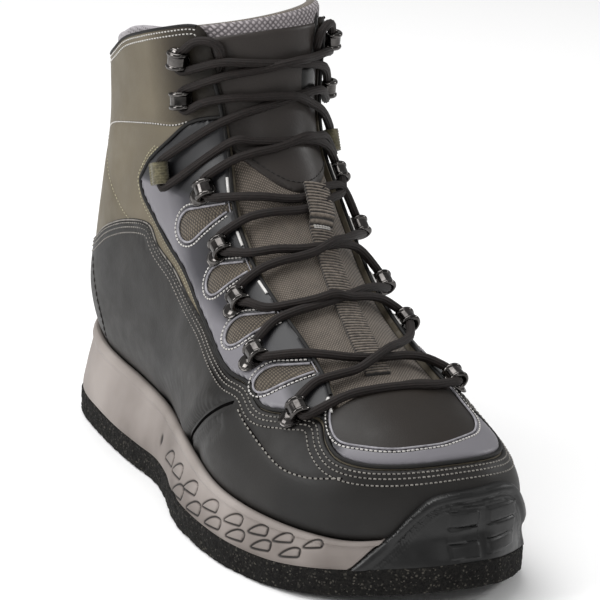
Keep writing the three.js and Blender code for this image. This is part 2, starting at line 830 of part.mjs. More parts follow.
// Toe bumper: a skin over the midsole and the toe of the upper, with a raised frame and raised blocks
function toeBumper() {
  const skin = (more) => wallBlock(more, plainWall).add(lastLoft(lowerStep + gap + bumperThickness + more));
  const outline = toePrism(bumperTable, bumperSteps);
  const frame = outline.subtract(toePrism(frameTable, frameSteps));
  const blocks = blockColumns.flatMap((column) => blockRows.map((row) => {
    const [left, right] = column.map((across) => across * ballWidth);
    const [low, high] = row.map((rise) => height(rise) + toeSpring * toeFrontLift);
    return frontPrism([[left, low], [right, low], [right, high], [left, high]], toePrismStart(), reach);
  }));
  const thin = skin(0).intersect(outline);
  const raised = [frame, ...blocks].map((prism) => skin(bumperRib).intersect(prism));
  const body = raised.reduce((solid, piece) => solid.add(piece), thin);
  const cutters = [wallBlock(-bumperDepth, plainWall), lastLoft(lowerStep + gap), underLevel(feltThickness + gap)];
  return cutters.reduce((solid, cutter) => solid.subtract(cutter), body);
}

function tongue() {
  const sheet = (grow) => frontSheet(tongueStarts, tongueEnds, tongueTuck, grow, tongueSteps, 6);
  return slab(sheet(tongueTop), sheet(tongueTop - tongueThickness));
}
const tongueStarts = [3.9, 3.9];
const tongueEnds = [16.8, 17.4];
const tongueSteps = 18;
const tongueGap = 1;          // a soft piece under a curved wall
const tongueTop = -wall - tongueGap;

// Ribbed strip on the middle of the tongue
function tongueStrap() {
  const sheet = (grow) => {
    const lines = [];
    for (let step = 0; step <= strapSteps; step += 1) {
      const row = mix(strapStart, strapEnd, step / strapSteps);
      const middle = mix(strapMiddleStart, strapMiddleEnd, step / strapSteps) * heelWidth;
      const edges = [-strapWidth / 2, 0, strapWidth / 2];
      lines.push(edges.map((across) => frontPoint(row, middle + across, grow)));
    }
    return lines;
  };
  return slab(sheet(strapTop), sheet(strapTop - strapThickness));
}
const strapTop = tongueTop + 2 * gap + strapThickness;
const strapSteps = 12;
const strapStart = 4.75;
const strapEnd = 9.3;
const strapWidth = 12.5;
const strapMiddleStart = 0.016;
const strapMiddleEnd = 0.125;

// Padded collar inside the shaft, from one side of the tongue round the heel to the other
function collarLining() {
  const edge = collarLine();
  const edgeHeight = (run) => {
    const next = edge.findIndex(([along]) => along > run);
    const [a, b] = [edge[next - 1], edge[next]];
    return mix(a[1], b[1], (run - a[0]) / (b[0] - a[0]));
  };
  const rowAt = (angle, rise) => solve((row) => {
    const [, y, z] = lastPoint(row, angle, -wall - gap);
    return z - edgeHeight(Math.min(bootLength / 2 - y, liningFront * bootLength)) - rise;
  }, liningLowest, lastRow);
  const sheet = (grow) => {
    const lines = [];
    for (let step = 0; step <= liningSteps; step += 1) {
      const angle = turn(mix(-liningTurn, liningTurn, step / liningSteps));
      const top = mix(liningRise, liningRiseFront, Math.abs(angle) / turn(liningTurn));
      const ends = [rowAt(angle, -liningDepth), rowAt(angle, top)];
      const line = [];
      for (let level = 0; level <= liningLevels; level += 1) {
        line.push(lastPoint(mix(ends[0], ends[1], level / liningLevels), angle, grow));
      }
      lines.push(line);
    }
    return lines;
  };
  return slab(sheet(tongueTop), sheet(tongueTop - liningThickness));
}
const liningSteps = 20;
const liningLevels = 3;
const liningTurn = 110;        // degrees each way from the heel back
const liningFront = 0.36;      // share of bootLength past which the collar is level
const liningLowest = 12;

// Strip on the heel back, and the loop of webbing at its top
function backStrip() {
  const half = pullLoopWidth / 2;
  const [low, high] = [height(backStripStart), height(backStripEnd)];
  const outline = [[-half, low], [half, low], [half, high], [-half, high]];
  const strip = frontPrism(outline, alongY(-stripReach), 2 * stripReach);
  return lastLoft(gap + strapThickness).subtract(lastLoft(gap)).intersect(strip);
}
const stripReach = 30;         // cutter, each way from the heel back
const backStripStart = 0.58;
const backStripEnd = 0.97;

function pullLoop() {
  const [, backY] = lastPoint(pullLoopRow, 0, gap + pullLoopSeat);
  const run = bootLength / 2 - backY;
  const outer = pullLoopOutline.map(([out, rise]) => [run - out, height(rise)]);
  const middle = [0, 1].map((axis) => outer.reduce((sum, point) => sum + point[axis], 0) / outer.length);
  const inner = outer.map(([along, z]) => {
    const share = 1 - strapThickness / Math.hypot(along - middle[0], z - middle[1]);
    return [mix(middle[0], along, share), mix(middle[1], z, share)];
  });
  return toSolid(acrossPrism(outer, pullLoopWidth / 2)).subtract(toSolid(acrossPrism(inner, reach)));
}
const pullLoopRow = 15.5;
const pullLoopSeat = 0.9;      // on the curved back of the heel
const pullLoopOutline = [
  // out in mm, rise
  [0, 1.02],
  [3, 1.00],
  [5, 1.08],
  [6, 1.20],
  [5, 1.32],
  [3, 1.38],
  [0, 1.35],
];

const eyeletSeat = 0.3;        // under an eyelet's flat plate on the curved upper

// Section and distance from the middle line of an eyelet, outer side negative
function eyeletPlace([outerRow, outer, innerRow, inner], side) {
  return side < 0 ? [outerRow, -outer * heelWidth] : [innerRow, inner * heelWidth];
}

// Eyelets stand on the upper: a place, the way along the throat edge, the way across it and the way out
function eyeletFrame(entry, side, base) {
  const [row, x] = eyeletPlace(entry, side);
  const step = 0.2;
  const at = (r, across) => new THREE.Vector3(...frontPoint(r, across, base));
  const along = at(row + step, x).sub(at(row - step, x)).normalize();
  const across = at(row, x + 1).sub(at(row, x - 1)).normalize();
  const out = new THREE.Vector3().crossVectors(across, along).normalize();
  if (out.y > 0) out.negate();
  const outboard = new THREE.Vector3().crossVectors(out, along).normalize();
  if (outboard.x * side < 0) outboard.negate();
  return { place: at(row, x), along, outboard, out };
}

// Profile drawn outboard and out of the upper, given a width along the throat edge
function profilePiece(frame, outline, hole, width) {
  const shape = new THREE.Shape(outline.map(([u, v]) => new THREE.Vector2(u, v)));
  if (hole) shape.holes.push(new THREE.Path(hole.map(([u, v]) => new THREE.Vector2(u, v))));
  const geometry = new THREE.ExtrudeGeometry(shape, { depth: width, bevelEnabled: false });
  geometry.translate(0, 0, -width / 2);
  const normal = new THREE.Vector3().crossVectors(frame.outboard, frame.out);
  geometry.applyMatrix4(new THREE.Matrix4().makeBasis(frame.outboard, frame.out, normal));
  return geometry.translate(...frame.place.toArray());
}

function disc(frame, away, diameter, thickness, sides) {
  const geometry = new THREE.CylinderGeometry(diameter / 2, diameter / 2, thickness, sides);
  geometry.translate(0, thickness / 2, 0);
  const normal = new THREE.Vector3().crossVectors(frame.outboard, frame.out);
  geometry.applyMatrix4(new THREE.Matrix4().makeBasis(frame.outboard, frame.out, normal));
  const centre = frame.place.clone().addScaledVector(frame.outboard, away);
  return geometry.translate(...centre.toArray());
}

// Ghillie ring: a closed bow for the lace, with its rivet outboard of it
function ghillieRing(frame) {
  const half = laceDiameter / 2 + bowRoom;
  const top = laceDiameter + bowRoom + ringWire;
  const edge = half + ringWire / 2;
  const outline = [[-edge, 0], [edge, 0], [edge, top * 0.6], [half * 0.6, top], [-half * 0.6, top], [-edge, top * 0.6]];
  const low = plateThickness;
  const high = low + laceDiameter + bowRoom;
  const hole = [[-half, low], [-half * 0.8, high], [half * 0.8, high], [half, low]];
  const bow = toSolid(profilePiece(frame, outline, hole, ringWidth));
  return bow.add(toSolid(disc(frame, edge + rivetOut, rivetDiameter, rivetHeight, rivetSides)));
}
const rivetSides = 6;
const rivetOut = 1.4;          // middle of the rivet past the bow
const bowRoom = 0.5;
const plateThickness = 1.1;
const ringWidth = 5;

// Lace hook: a plate, a post on the throat side and a lip that curls outboard
function laceHook(frame) {
  const low = plateThickness;
  const wide = laceDiameter * 1.15;
  const outline = [
    [-wide * 0.5 - ringWire / 2, 0],
    [wide * 0.9, 0],
    [wide * 0.9, low],
    [-wide * 0.5 + ringWire / 4, low],
    [-wide * 0.5 + ringWire / 4, hookReach - ringWire],
    [wide, hookReach - ringWire / 2],
    [-wide * 0.2, hookReach],
    [-wide * 0.5 - ringWire / 2, hookReach - ringWire],
  ];
  const hook = toSolid(profilePiece(frame, outline, null, ringWidth));
  return hook.add(toSolid(disc(frame, wide * 0.35, rivetDiameter, low, rivetSides)));
}

function webbingLoop(frame) {
  const half = laceDiameter / 2 + bowRoom;
  const edge = half + strapThickness;
  const top = laceDiameter + bowRoom + 2 * strapThickness;
  const outline = [[-edge, 0], [edge * 1.8, 0], [edge * 1.7, strapThickness], [half, top], [-half, top], [-edge, top * 0.7]];
  const low = strapThickness;
  const hole = [[-half, low], [-half, top * 0.6], [-half * 0.7, low + laceDiameter + bowRoom]];
  hole.push([half * 0.7, low + laceDiameter + bowRoom], [half, top * 0.6], [half, low]);
  return profilePiece(frame, outline, hole, webbingLoopWidth);
}
const webbingLoopWidth = 10;

// Laces: one bar at the toe end, then a crossing between each two rows of eyelets
const laceRows = [...ringTable, ...loopTable, ...hookTable];

// End of a strand beside its eyelet. way: 1 towards the collar, -1 towards the toe.
function laceEnd(entry, side, way) {
  const [row, x] = eyeletPlace(entry, side);
  const near = x - side * laceShort;
  const step = 0.5;
  const below = new THREE.Vector3(...frontPoint(row - step, near, laceSide));
  const rowLength = below.distanceTo(new THREE.Vector3(...frontPoint(row + step, near, laceSide)));
  return frontPoint(row + (way * laceDiameter * laceApart) / rowLength, near, laceSide);
}
const laceApart = 0.6;         // from an eyelet's middle to each of its two strands, in lace diameters
const laceShort = 7.5;         // from the eyelet's middle to the end of a strand
const laceSide = 6;            // middle of the lace above the last at its ends
const laceRest = 0.5;          // under a lace where it lies on the tongue or its strip

// Height of the lace's middle over the middle of the throat
function restHeight(row) {
  const base = row < strapEnd ? strapTop : tongueTop;
  return base + laceDiameter / 2 + laceRest;
}

function laceStrand(entry, side, next) {
  const [row, x] = eyeletPlace(entry, side);
  const [nextRow, nextX] = eyeletPlace(next, -side);
  const heights = [laceShoulder, restHeight((row + nextRow) / 2), laceShoulder];
  const line = laceTurns.map((share, index) => frontPoint(mix(row, nextRow, share), mix(x, nextX, share), heights[index]));
  return bar([laceEnd(entry, side, 1), ...line, laceEnd(next, -side, -1)], laceDiameter, laceSides, laceSteps);
}
const laceTurns = [0.3, 0.5, 0.7]; // shares of the way across
const laceShoulder = 3.8;      // middle of the lace above the last, inside the throat edge
const laceSides = 5;
const laceSteps = 4;

function laceBar(entry) {
  const ends = [-1, 1].map((side) => eyeletPlace(entry, side));
  const middle = frontPoint(...mixPoint(...ends, 0.5), restHeight(entry[0]));
  return bar([laceEnd(entry, -1, -barLow), middle, laceEnd(entry, 1, -barLow)], laceDiameter, laceSides, laceSteps);
}
const barLow = 1.2;            // bar below its eyelets' middle, as a share of laceApart

place('outsole_felt', fromSolid(outsole()), materials.felt);
place('midsole', fromSolid(midsole()), materials.midsole);
place('toe_bumper', fromSolid(toeBumper()), materials.rubber);
place('upper', fromSolid(upper()), materials.leather);
place('insole', fromSolid(insole()), materials.lining);
place('tongue', tongue(), materials.mesh);
place('lace_stay', fromSolid(laceStay()), materials.stay);
place('tongue_strap', tongueStrap(), materials.webbing);
place('collar_lining', collarLining(), materials.lining);
place('back_strip', fromSolid(backStrip()), materials.rubber);
place('pull_loop', fromSolid(pullLoop()), materials.webbing);
[['outer', -1], ['inner', 1]].forEach(([side, sign]) => {
  ringTable.forEach((entry, index) => {
    const ring = ghillieRing(eyeletFrame(entry, sign, stayTop + eyeletSeat));
    place(`ring_${side}_${index + 1}`, fromSolid(ring), materials.metal);
  });
  place(`lace_loop_${side}`, webbingLoop(eyeletFrame(loopTable[0], sign, stayTop + eyeletSeat)), materials.olive);
  hookTable.forEach((entry, index) => {
    const hook = laceHook(eyeletFrame(entry, sign, eyeletSeat));
    place(`hook_${side}_${index + 1}`, fromSolid(hook), materials.metal);
  });
});
place('lace_bar', laceBar(ringTable[0]), materials.lace);
laceRows.slice(1).forEach((next, index) => {
  const strands = [-1, 1].map((side) => toSolid(laceStrand(laceRows[index], side, next)));
  place(`lace_crossing_${index + 1}`, fromSolid(strands[0].add(strands[1])), materials.lace);
});

// The origin lies under the middle of the boot
const box = new THREE.Box3().setFromObject(group);
group.position.set(-(box.min.x + box.max.x) / 2, -(box.min.y + box.max.y) / 2, -box.min.z);

export default group;
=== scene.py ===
import json
import math
import bpy
import numpy as np
from mathutils import Matrix, Vector
from mathutils.bvhtree import BVHTree

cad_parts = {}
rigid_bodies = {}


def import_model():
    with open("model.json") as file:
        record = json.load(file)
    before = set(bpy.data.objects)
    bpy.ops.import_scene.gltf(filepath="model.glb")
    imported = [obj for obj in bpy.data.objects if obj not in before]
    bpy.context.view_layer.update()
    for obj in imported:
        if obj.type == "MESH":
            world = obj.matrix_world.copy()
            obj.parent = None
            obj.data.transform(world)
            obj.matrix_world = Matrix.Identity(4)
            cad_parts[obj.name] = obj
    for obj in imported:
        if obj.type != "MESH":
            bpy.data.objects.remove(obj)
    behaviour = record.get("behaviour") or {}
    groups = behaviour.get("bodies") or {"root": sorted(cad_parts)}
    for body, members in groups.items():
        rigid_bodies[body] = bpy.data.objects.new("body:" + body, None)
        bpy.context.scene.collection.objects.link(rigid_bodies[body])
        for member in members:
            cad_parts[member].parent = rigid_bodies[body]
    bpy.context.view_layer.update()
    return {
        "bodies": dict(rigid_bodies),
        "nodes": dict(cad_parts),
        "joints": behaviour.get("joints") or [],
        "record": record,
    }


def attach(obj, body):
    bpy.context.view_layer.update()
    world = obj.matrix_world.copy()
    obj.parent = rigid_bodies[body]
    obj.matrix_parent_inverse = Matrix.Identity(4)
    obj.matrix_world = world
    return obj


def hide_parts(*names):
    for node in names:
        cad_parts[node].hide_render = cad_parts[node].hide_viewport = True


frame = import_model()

# Lengths are in mm, in the same frame as the part before it was centred over the origin.
# Right boot: toe towards -Y, heel towards +Y, outer (little toe) side towards -X.
centring = np.array([3.1379, -0.1913, 0.0])
metre = 0.001
rng = np.random.default_rng(7)


# camera

cameraView = {
    "place": (-658.56, -1208.35, 524.18),
    "yaw": 0.5028, "pitch": 0.3028, "roll": 0.0588,    # radians
    "focal": 3145.3, "picture": 600.0,                 # pixels
    "sensor": 36.0,
}


def addCamera(view):
    yaw, pitch, roll = view["yaw"], view["pitch"], view["roll"]
    forward = Vector((math.sin(yaw) * math.cos(pitch), math.cos(yaw) * math.cos(pitch), -math.sin(pitch)))
    level = Vector((math.cos(yaw), -math.sin(yaw), 0))
    rise = level.cross(forward)
    right = level * math.cos(roll) + rise * math.sin(roll)
    up = rise * math.cos(roll) - level * math.sin(roll)
    data = bpy.data.cameras.new("photoCamera")
    data.sensor_width = view["sensor"]
    data.lens = view["sensor"] * view["focal"] / view["picture"]
    camera = bpy.data.objects.new("photoCamera", data)
    turn = Matrix((right, up, -forward)).transposed().to_4x4()
    camera.matrix_world = Matrix.Translation(Vector((np.array(view["place"]) + centring) * metre)) @ turn
    bpy.context.scene.collection.objects.link(camera)
    bpy.context.scene.camera = camera


addCamera(cameraView)
print("camera placed")


# the last, which every panel of the boot lies on

boot = {
    "length": 312, "ballWidth": 117, "heelWidth": 88, "bedHeight": 20, "instepRise": 136, "shaftRise": 64,
    "felt": 12, "toeSpring": 11, "springStart": 240, "wall": 2.6, "gap": 0.3, "lip": 3, "lipStep": 0.9,
    "lowerStep": 1.0, "stayTop": 1.4, "tongueTop": -3.6, "tongueThickness": 4.5, "tongueTuck": 9,
    "laceDiameter": 4.8,
}

# Sections of the last from the toe tip to above the collar, an oval between a keel and a ridge point each
sectionTable = np.array([
    # ridge run, rise, keel run, rise, outer, inner, fore, belly, power
    [0.971, 0.085, 0.971, 0.019, -0.094, 0.162, 1.00, -0.30, 0.80],
    [0.962, 0.186, 0.962, 0.003, 0.034, 0.274, 1.00, -0.40, 0.80],
    [0.933, 0.276, 0.936, -0.009, 0.197, 0.380, 1.00, -0.50, 0.80],
    [0.885, 0.355, 0.894, -0.002, 0.342, 0.440, 1.00, -0.60, 0.80],
    [0.821, 0.430, 0.827, -0.001, 0.436, 0.474, 1.00, -0.70, 0.82],
    [0.750, 0.515, 0.750, 0.000, 0.496, 0.479, 1.00, -0.80, 0.85],
    [0.683, 0.596, 0.673, 0.000, 0.521, 0.453, 1.00, -0.80, 0.88],
    [0.619, 0.684, 0.583, 0.007, 0.531, 0.449, 0.73, -0.75, 0.88],
    [0.561, 0.787, 0.481, 0.022, 0.509, 0.460, 0.49, -0.70, 0.86],
    [0.510, 0.897, 0.369, 0.029, 0.490, 0.480, 0.27, -0.50, 0.84],
    [0.471, 1.000, 0.240, 0.037, 0.505, 0.494, 0.11, -0.30, 0.82],
    [0.446, 1.188, 0.096, 0.051, 0.523, 0.500, 0.00, -0.20, 0.80],
    [0.433, 1.344, 0.022, 0.184, 0.523, 0.489, 0.00, -0.10, 0.80],
    [0.426, 1.484, 0.010, 0.368, 0.511, 0.477, 0.00, 0.00, 0.82],
    [0.423, 1.609, 0.022, 0.625, 0.500, 0.477, 0.00, 0.00, 0.84],
    [0.420, 1.734, 0.038, 0.882, 0.489, 0.477, 0.00, 0.00, 0.84],
    [0.417, 1.859, 0.038, 1.219, 0.500, 0.489, 0.00, 0.00, 0.84],
    [0.413, 2.000, 0.032, 1.656, 0.511, 0.500, 0.00, 0.00, 0.84],
    [0.407, 2.250, 0.029, 1.906, 0.523, 0.511, 0.00, 0.00, 0.84],
])
lastRow = len(sectionTable) - 1
toeRows = 3              # sections over which growth also moves the toe tip forward

rimTable = np.array([    # top edge of the midsole: run, rise above the bed
    [-0.048, 0.191], [0.029, 0.191], [0.080, 0.180], [0.112, 0.168], [0.151, 0.151], [0.221, 0.129],
    [0.321, 0.125], [0.449, 0.125], [0.561, 0.114], [0.641, 0.092], [0.737, 0.070], [0.801, 0.061],
    [0.865, 0.045], [0.913, 0.031], [0.952, 0.038], [0.971, 0.048], [1.019, 0.037],
])
throatTable = np.array([ # edges of the throat: section, outer and inner distance from the middle line
    [4.0, 0.300, 0.400], [4.7, 0.262, 0.365], [5.5, 0.262, 0.325], [6.5, 0.284, 0.325], [7.7, 0.305, 0.335],
    [8.6, 0.296, 0.350], [9.5, 0.284, 0.355], [10.9, 0.256, 0.340], [13.2, 0.273, 0.330],
    [15.2, 0.307, 0.335], [18.0, 0.330, 0.350],
])
throatStarts = [4.15, 4.60]


def height(rise):
    rise = np.asarray(rise, float)
    low = boot["bedHeight"] + rise * boot["instepRise"]
    high = boot["bedHeight"] + boot["instepRise"] + (rise - 1) * boot["shaftRise"]
    return np.where(rise <= 1, low, high)


def toeLift(run):
    past = np.maximum(0, np.asarray(run, float) - boot["springStart"])
    return boot["toeSpring"] * (past / (boot["length"] - boot["springStart"])) ** 2


def widthAt(fore):
    return boot["heelWidth"] + (boot["ballWidth"] - boot["heelWidth"]) * fore


def between(rows, places):
    places = np.asarray(places, float)
    index = np.clip(np.floor(places).astype(int), 0, len(rows) - 2)
    share = (places - index)[..., None]
    before = rows[np.maximum(index - 1, 0)]
    start, end = rows[index], rows[index + 1]
    after = rows[np.minimum(index + 2, len(rows) - 1)]
    slopeIn, slopeOut = (end - before) / 2, (after - start) / 2
    rise = end - start
    curve = 3 * rise - 2 * slopeIn - slopeOut
    bend = slopeIn + slopeOut - 2 * rise
    return start + share * (slopeIn + share * (curve + share * bend))


def lookUp(rows, places):
    places = np.asarray(places, float)
    index = np.clip(np.searchsorted(rows[:, 0], places) - 1, 0, len(rows) - 2)
    share = (places - rows[index, 0]) / (rows[index + 1, 0] - rows[index, 0])
    return between(rows, index + np.clip(share, 0, 1))


def sectionSizes():
    ridgeRun, ridgeRise, keelRun, keelRise, outer, inner, fore, belly, power = sectionTable.T
    ridge, keel = ridgeRun * boot["length"], keelRun * boot["length"]
    width = widthAt(fore)
    heights = [height(ridgeRise) + toeLift(ridge), height(keelRise) + toeLift(keel)]
    return np.stack([ridge, heights[0], keel, heights[1], outer * width, inner * width, belly, power], 1)


sections = sectionSizes()


def signedPower(value, power):
    return np.sign(value) * np.abs(value) ** power


# Point of the last. The angle goes from the keel (0) over the outer side to the ridge (pi).
def lastPoint(row, angle, grow=0.0):
    row, angle = np.broadcast_arrays(np.asarray(row, float), np.asarray(angle, float))
    ridge, ridgeHeight, keel, keelHeight, outer, inner, belly, power = np.moveaxis(between(sections, row), -1, 0)
    length = np.hypot(ridge - keel, ridgeHeight - keelHeight)
    forward = grow * np.maximum(0, 1 - row / toeRows)
    up = (1 - signedPower(np.cos(angle), power)) / 2
    share = up + belly * up * (1 - up)
    way = share * (length + 2 * grow) - grow
    run = keel + (ridge - keel) / length * way + forward
    z = keelHeight + (ridgeHeight - keelHeight) / length * way
    x = (inner - outer) / 2 - ((outer + inner) / 2 + grow) * signedPower(np.sin(angle), power)
    return np.stack([x, boot["length"] / 2 - run, z], -1)


# Point on the front of the last at a distance from the middle line, outer side negative
def frontAngle(row, x):
    outer, inner, power = np.moveaxis(between(sections, row)[..., [4, 5, 7]], -1, 0)
    across = ((inner - outer) / 2 - x) / ((outer + inner) / 2)
    return np.pi - np.sign(across) * np.arcsin(np.clip(np.abs(across), 0, 1) ** (1 / power))


# Section and angle of a place given in the side view, on the outer (-1) or inner (1) side
def sidePlace(run, z, side):
    run, z = np.asarray(run, float), np.asarray(z, float)
    low, high = np.zeros(run.shape), np.full(run.shape, float(lastRow))
    for _ in range(40):
        middle = (low + high) / 2
        ridge, ridgeHeight, keel, keelHeight = np.moveaxis(between(sections, middle)[..., :4], -1, 0)
        before = (ridge - keel) * (z - keelHeight) - (ridgeHeight - keelHeight) * (run - keel) > 0
        low, high = np.where(before, middle, low), np.where(before, high, middle)
    ridge, ridgeHeight, keel, keelHeight, _, _, belly, power = np.moveaxis(between(sections, low), -1, 0)
    length = np.hypot(ridge - keel, ridgeHeight - keelHeight)
    way = ((run - keel) * (ridge - keel) + (z - keelHeight) * (ridgeHeight - keelHeight)) / length
    share = np.clip(way / length, 0, 1)
    belly = np.where(np.abs(belly) < 1e-6, -1e-6, belly)
    up = ((1 + belly) - np.sqrt((1 + belly) ** 2 - 4 * belly * share)) / (2 * belly)
    angle = np.arccos(signedPower(np.clip(1 - 2 * up, -1, 1), 1 / power))
    return low, -side * angle


# sheets: points of the last with the way that growth moves them, and values carried along

def evenAngles(count, squareness=0.83, aspect=1.6):
    fine = np.linspace(0, 2 * np.pi, 6001)
    curve = np.stack([signedPower(np.cos(fine), squareness) * aspect, signedPower(np.sin(fine), squareness)], 1)
    along = np.concatenate([[0], np.cumsum(np.linalg.norm(np.diff(curve, axis=0), axis=1))])
    return np.interp(np.arange(count) / count * along[-1], along, fine)


def evenRows(start, end, step):
    fine = np.linspace(start, end, 1201)
    line = lastPoint(fine[:, None], np.array([0.0, np.pi / 2, np.pi])[None, :])
    moves = np.linalg.norm(np.diff(line, axis=0), axis=2).mean(1)
    along = np.concatenate([[0], np.cumsum(moves)])
    count = int(along[-1] / step)
    return np.interp(np.linspace(0, along[-1], count), along, fine)


def gridFaces(rows, columns, closed=False):
    last = columns if closed else columns - 1
    i, j = np.meshgrid(np.arange(rows - 1), np.arange(last), indexing="ij")
    a, b = i * columns + j, i * columns + (j + 1) % columns
    c, d = b + columns, a + columns
    quads = np.stack([a, b, c, d], -1).reshape(-1, 4)
    return np.concatenate([quads[:, [0, 1, 2]], quads[:, [0, 2, 3]]])


# Turns the faces so that they point the way that growth moves the points
def faceOut(faces, points, lift):
    corners = points[faces]
    normals = np.cross(corners[:, 1] - corners[:, 0], corners[:, 2] - corners[:, 0])
    agree = np.einsum("ij,ij->i", normals, lift[faces].mean(1)).sum()
    return faces if agree > 0 else faces[:, ::-1]


# Turns a value on the grid into a distance along the surface, close to where it is zero
def surfaceDistance(value, points, least=0.12):
    padded = np.concatenate([value[:, -1:], value, value[:, :1]], 1)
    paddedPoints = np.concatenate([points[:, -1:], points, points[:, :1]], 1)
    valueU, valueV = np.gradient(value, axis=0), np.gradient(padded, axis=1)[:, 1:-1]
    pointU, pointV = np.gradient(points, axis=0), np.gradient(paddedPoints, axis=1)[:, 1:-1]
    e, f, g = (pointU * pointU).sum(-1), (pointU * pointV).sum(-1), (pointV * pointV).sum(-1)
    area = np.maximum(e * g - f * f, 1e-9)
    slope = np.sqrt(np.maximum((g * valueU ** 2 - 2 * f * valueU * valueV + e * valueV ** 2) / area, 0))
    return value / np.clip(slope, least, 3)


def polygonDistance(across, along, outline):
    points = np.stack([across.ravel(), along.ravel()], 1)
    best = np.full(len(points), np.inf)
    inside = np.zeros(len(points), bool)
    for p, q in zip(outline, np.roll(outline, -1, axis=0)):
        edge = q - p
        size = edge @ edge
        if size < 1e-12:
            continue
        way = np.clip(((points - p) @ edge) / size, 0, 1)
        best = np.minimum(best, np.hypot(*(points - p - way[:, None] * edge).T))
        if p[1] != q[1]:
            crosses = (p[1] > points[:, 1]) != (q[1] > points[:, 1])
            inside ^= crosses & (points[:, 0] < (q[0] - p[0]) * (points[:, 1] - p[1]) / (q[1] - p[1]) + p[0])
    return np.where(inside, best, -best).reshape(across.shape)


# Smooth line through points, with even steps
def smoothLine(points, step=1.0, closed=False):
    points = np.asarray(points, float)
    if closed:
        rows = np.concatenate([points[-2:], points, points[:3]])
        fine = between(rows, np.linspace(2, 2 + len(points), len(points) * 24))
    else:
        fine = between(points, np.linspace(0, len(points) - 1, len(points) * 24))
    return evenLine(fine, step)


def evenLine(line, step, count=None):
    along = np.concatenate([[0], np.cumsum(np.linalg.norm(np.diff(line, axis=0), axis=1))])
    count = count or max(2, int(round(along[-1] / step)) + 1)
    places = np.linspace(0, along[-1], count)
    return np.stack([np.interp(places, along, column) for column in line.T], 1)


def trimSheet(sheet, keep):
    faces, count = sheet["faces"], len(keep)
    keep = np.where(np.abs(keep) < 1e-6, 1e-6, keep)
    inside = keep > 0
    held = inside[faces].sum(1)
    kept = [faces[held == 3]]
    pairs = []

    def turned(cut, first):
        lead = np.argmax(inside[cut] == first, axis=1)
        return np.take_along_axis(cut, (lead[:, None] + np.arange(3)) % 3, 1)

    one, two = turned(faces[held == 1], True), turned(faces[held == 2], False)
    for group in (one, two):
        for other in (1, 2):
            pairs.append(np.sort(group[:, [0, other]], axis=1))
    joined = np.concatenate(pairs)
    keys, back = np.unique(joined[:, 0] * count + joined[:, 1], return_inverse=True)
    back = back.ravel() + count
    sizes = np.cumsum([0] + [len(pair) for pair in pairs])
    ab1, ac1, ab2, ac2 = [back[sizes[i]:sizes[i + 1]] for i in range(4)]
    kept.append(np.stack([one[:, 0], ab1, ac1], 1))
    kept.append(np.stack([ab2, two[:, 1], two[:, 2]], 1))
    kept.append(np.stack([ab2, two[:, 2], ac2], 1))
    low, high = keys // count, keys % count
    share = keep[low] / (keep[low] - keep[high])
    faces = np.concatenate(kept)
    used, packed = np.unique(faces, return_inverse=True)
    result = {"faces": packed.reshape(-1, 3)}
    for name, value in sheet.items():
        if name == "faces":
            continue
        weight = share.reshape(-1, *[1] * (value.ndim - 1))
        cut = value[low] * (1 - weight) + value[high] * weight
        result[name] = np.concatenate([value, cut])[used]
    return result


# Lines on a sheet where a value passes a level, longest first, as points of the sheet's values
def levelLines(sheet, value, level=0.0, shortest=8):
    faces, count = sheet["faces"], len(value)
    over = value - level
    over = np.where(np.abs(over) < 1e-6, 1e-6, over)
    inside = over > 0
    ends = {}
    for face in faces[(inside[faces].sum(1) % 3) != 0]:
        cut = [tuple(sorted((int(a), int(b)))) for a, b in zip(face, np.roll(face, -1)) if inside[a] != inside[b]]
        for here, there in (cut, cut[::-1]):
            ends.setdefault(here, []).append(there)
    lines = []
    while ends:
        start = next((key for key, links in ends.items() if len(links) == 1), next(iter(ends)))
        line, here = [start], start
        while ends.get(here):
            there = ends[here].pop()
            if here in ends.get(there, []):
                ends[there].remove(here)
            line.append(there)
            here = there
        for key in line:
            if not ends.get(key):
                ends.pop(key, None)
        if len(line) >= shortest:
            lines.append(line)
    found = []
    for line in sorted(lines, key=len, reverse=True):
        low, high = np.array(line).T
        share = (over[low] / (over[low] - over[high]))[:, None]
        found.append({name: sheet[name][low] * (1 - share) + sheet[name][high] * share for name in ("base", "lift")})
    return found


def distanceToLine(points, line, reach=25.0):
    best = np.full(len(points), reach)
    low, high = line.min(0) - reach, line.max(0) + reach
    near = np.where(((points > low) & (points < high)).all(1))[0]
    for start in range(0, len(near), 4000):
        part = near[start:start + 4000]
        gaps = np.linalg.norm(points[part][:, None, :] - line[None, :, :], axis=2)
        best[part] = np.minimum(best[part], gaps.min(1))
    return best


# meshes

def toFrame(points):
    return (np.asarray(points) + centring) * metre


def makeObject(name, points, faces, material=None, smooth=50):
    mesh = bpy.data.meshes.new(name)
    mesh.from_pydata(toFrame(points).tolist(), [], faces.tolist() if isinstance(faces, np.ndarray) else faces)
    mesh.update()
    piece = bpy.data.objects.new(name, mesh)
    bpy.context.scene.collection.objects.link(piece)
    if material:
        mesh.materials.append(material)
    bpy.ops.object.select_all(action="DESELECT")
    piece.select_set(True)
    bpy.context.view_layer.objects.active = piece
    bpy.ops.object.shade_smooth_by_angle(angle=math.radians(smooth))
    return piece


def addValue(piece, name, values):
    attribute = piece.data.attributes.new(name, "FLOAT", "POINT")
    attribute.data.foreach_set("value", np.asarray(values, np.float32))


def addUv(piece, uv):
    layer = piece.data.uv_layers.new(name="UVMap")
    corners = np.empty(len(piece.data.loops), np.int32)
    piece.data.loops.foreach_get("vertex_index", corners)
    layer.data.foreach_set("uv", np.asarray(uv, np.float32)[corners].ravel())


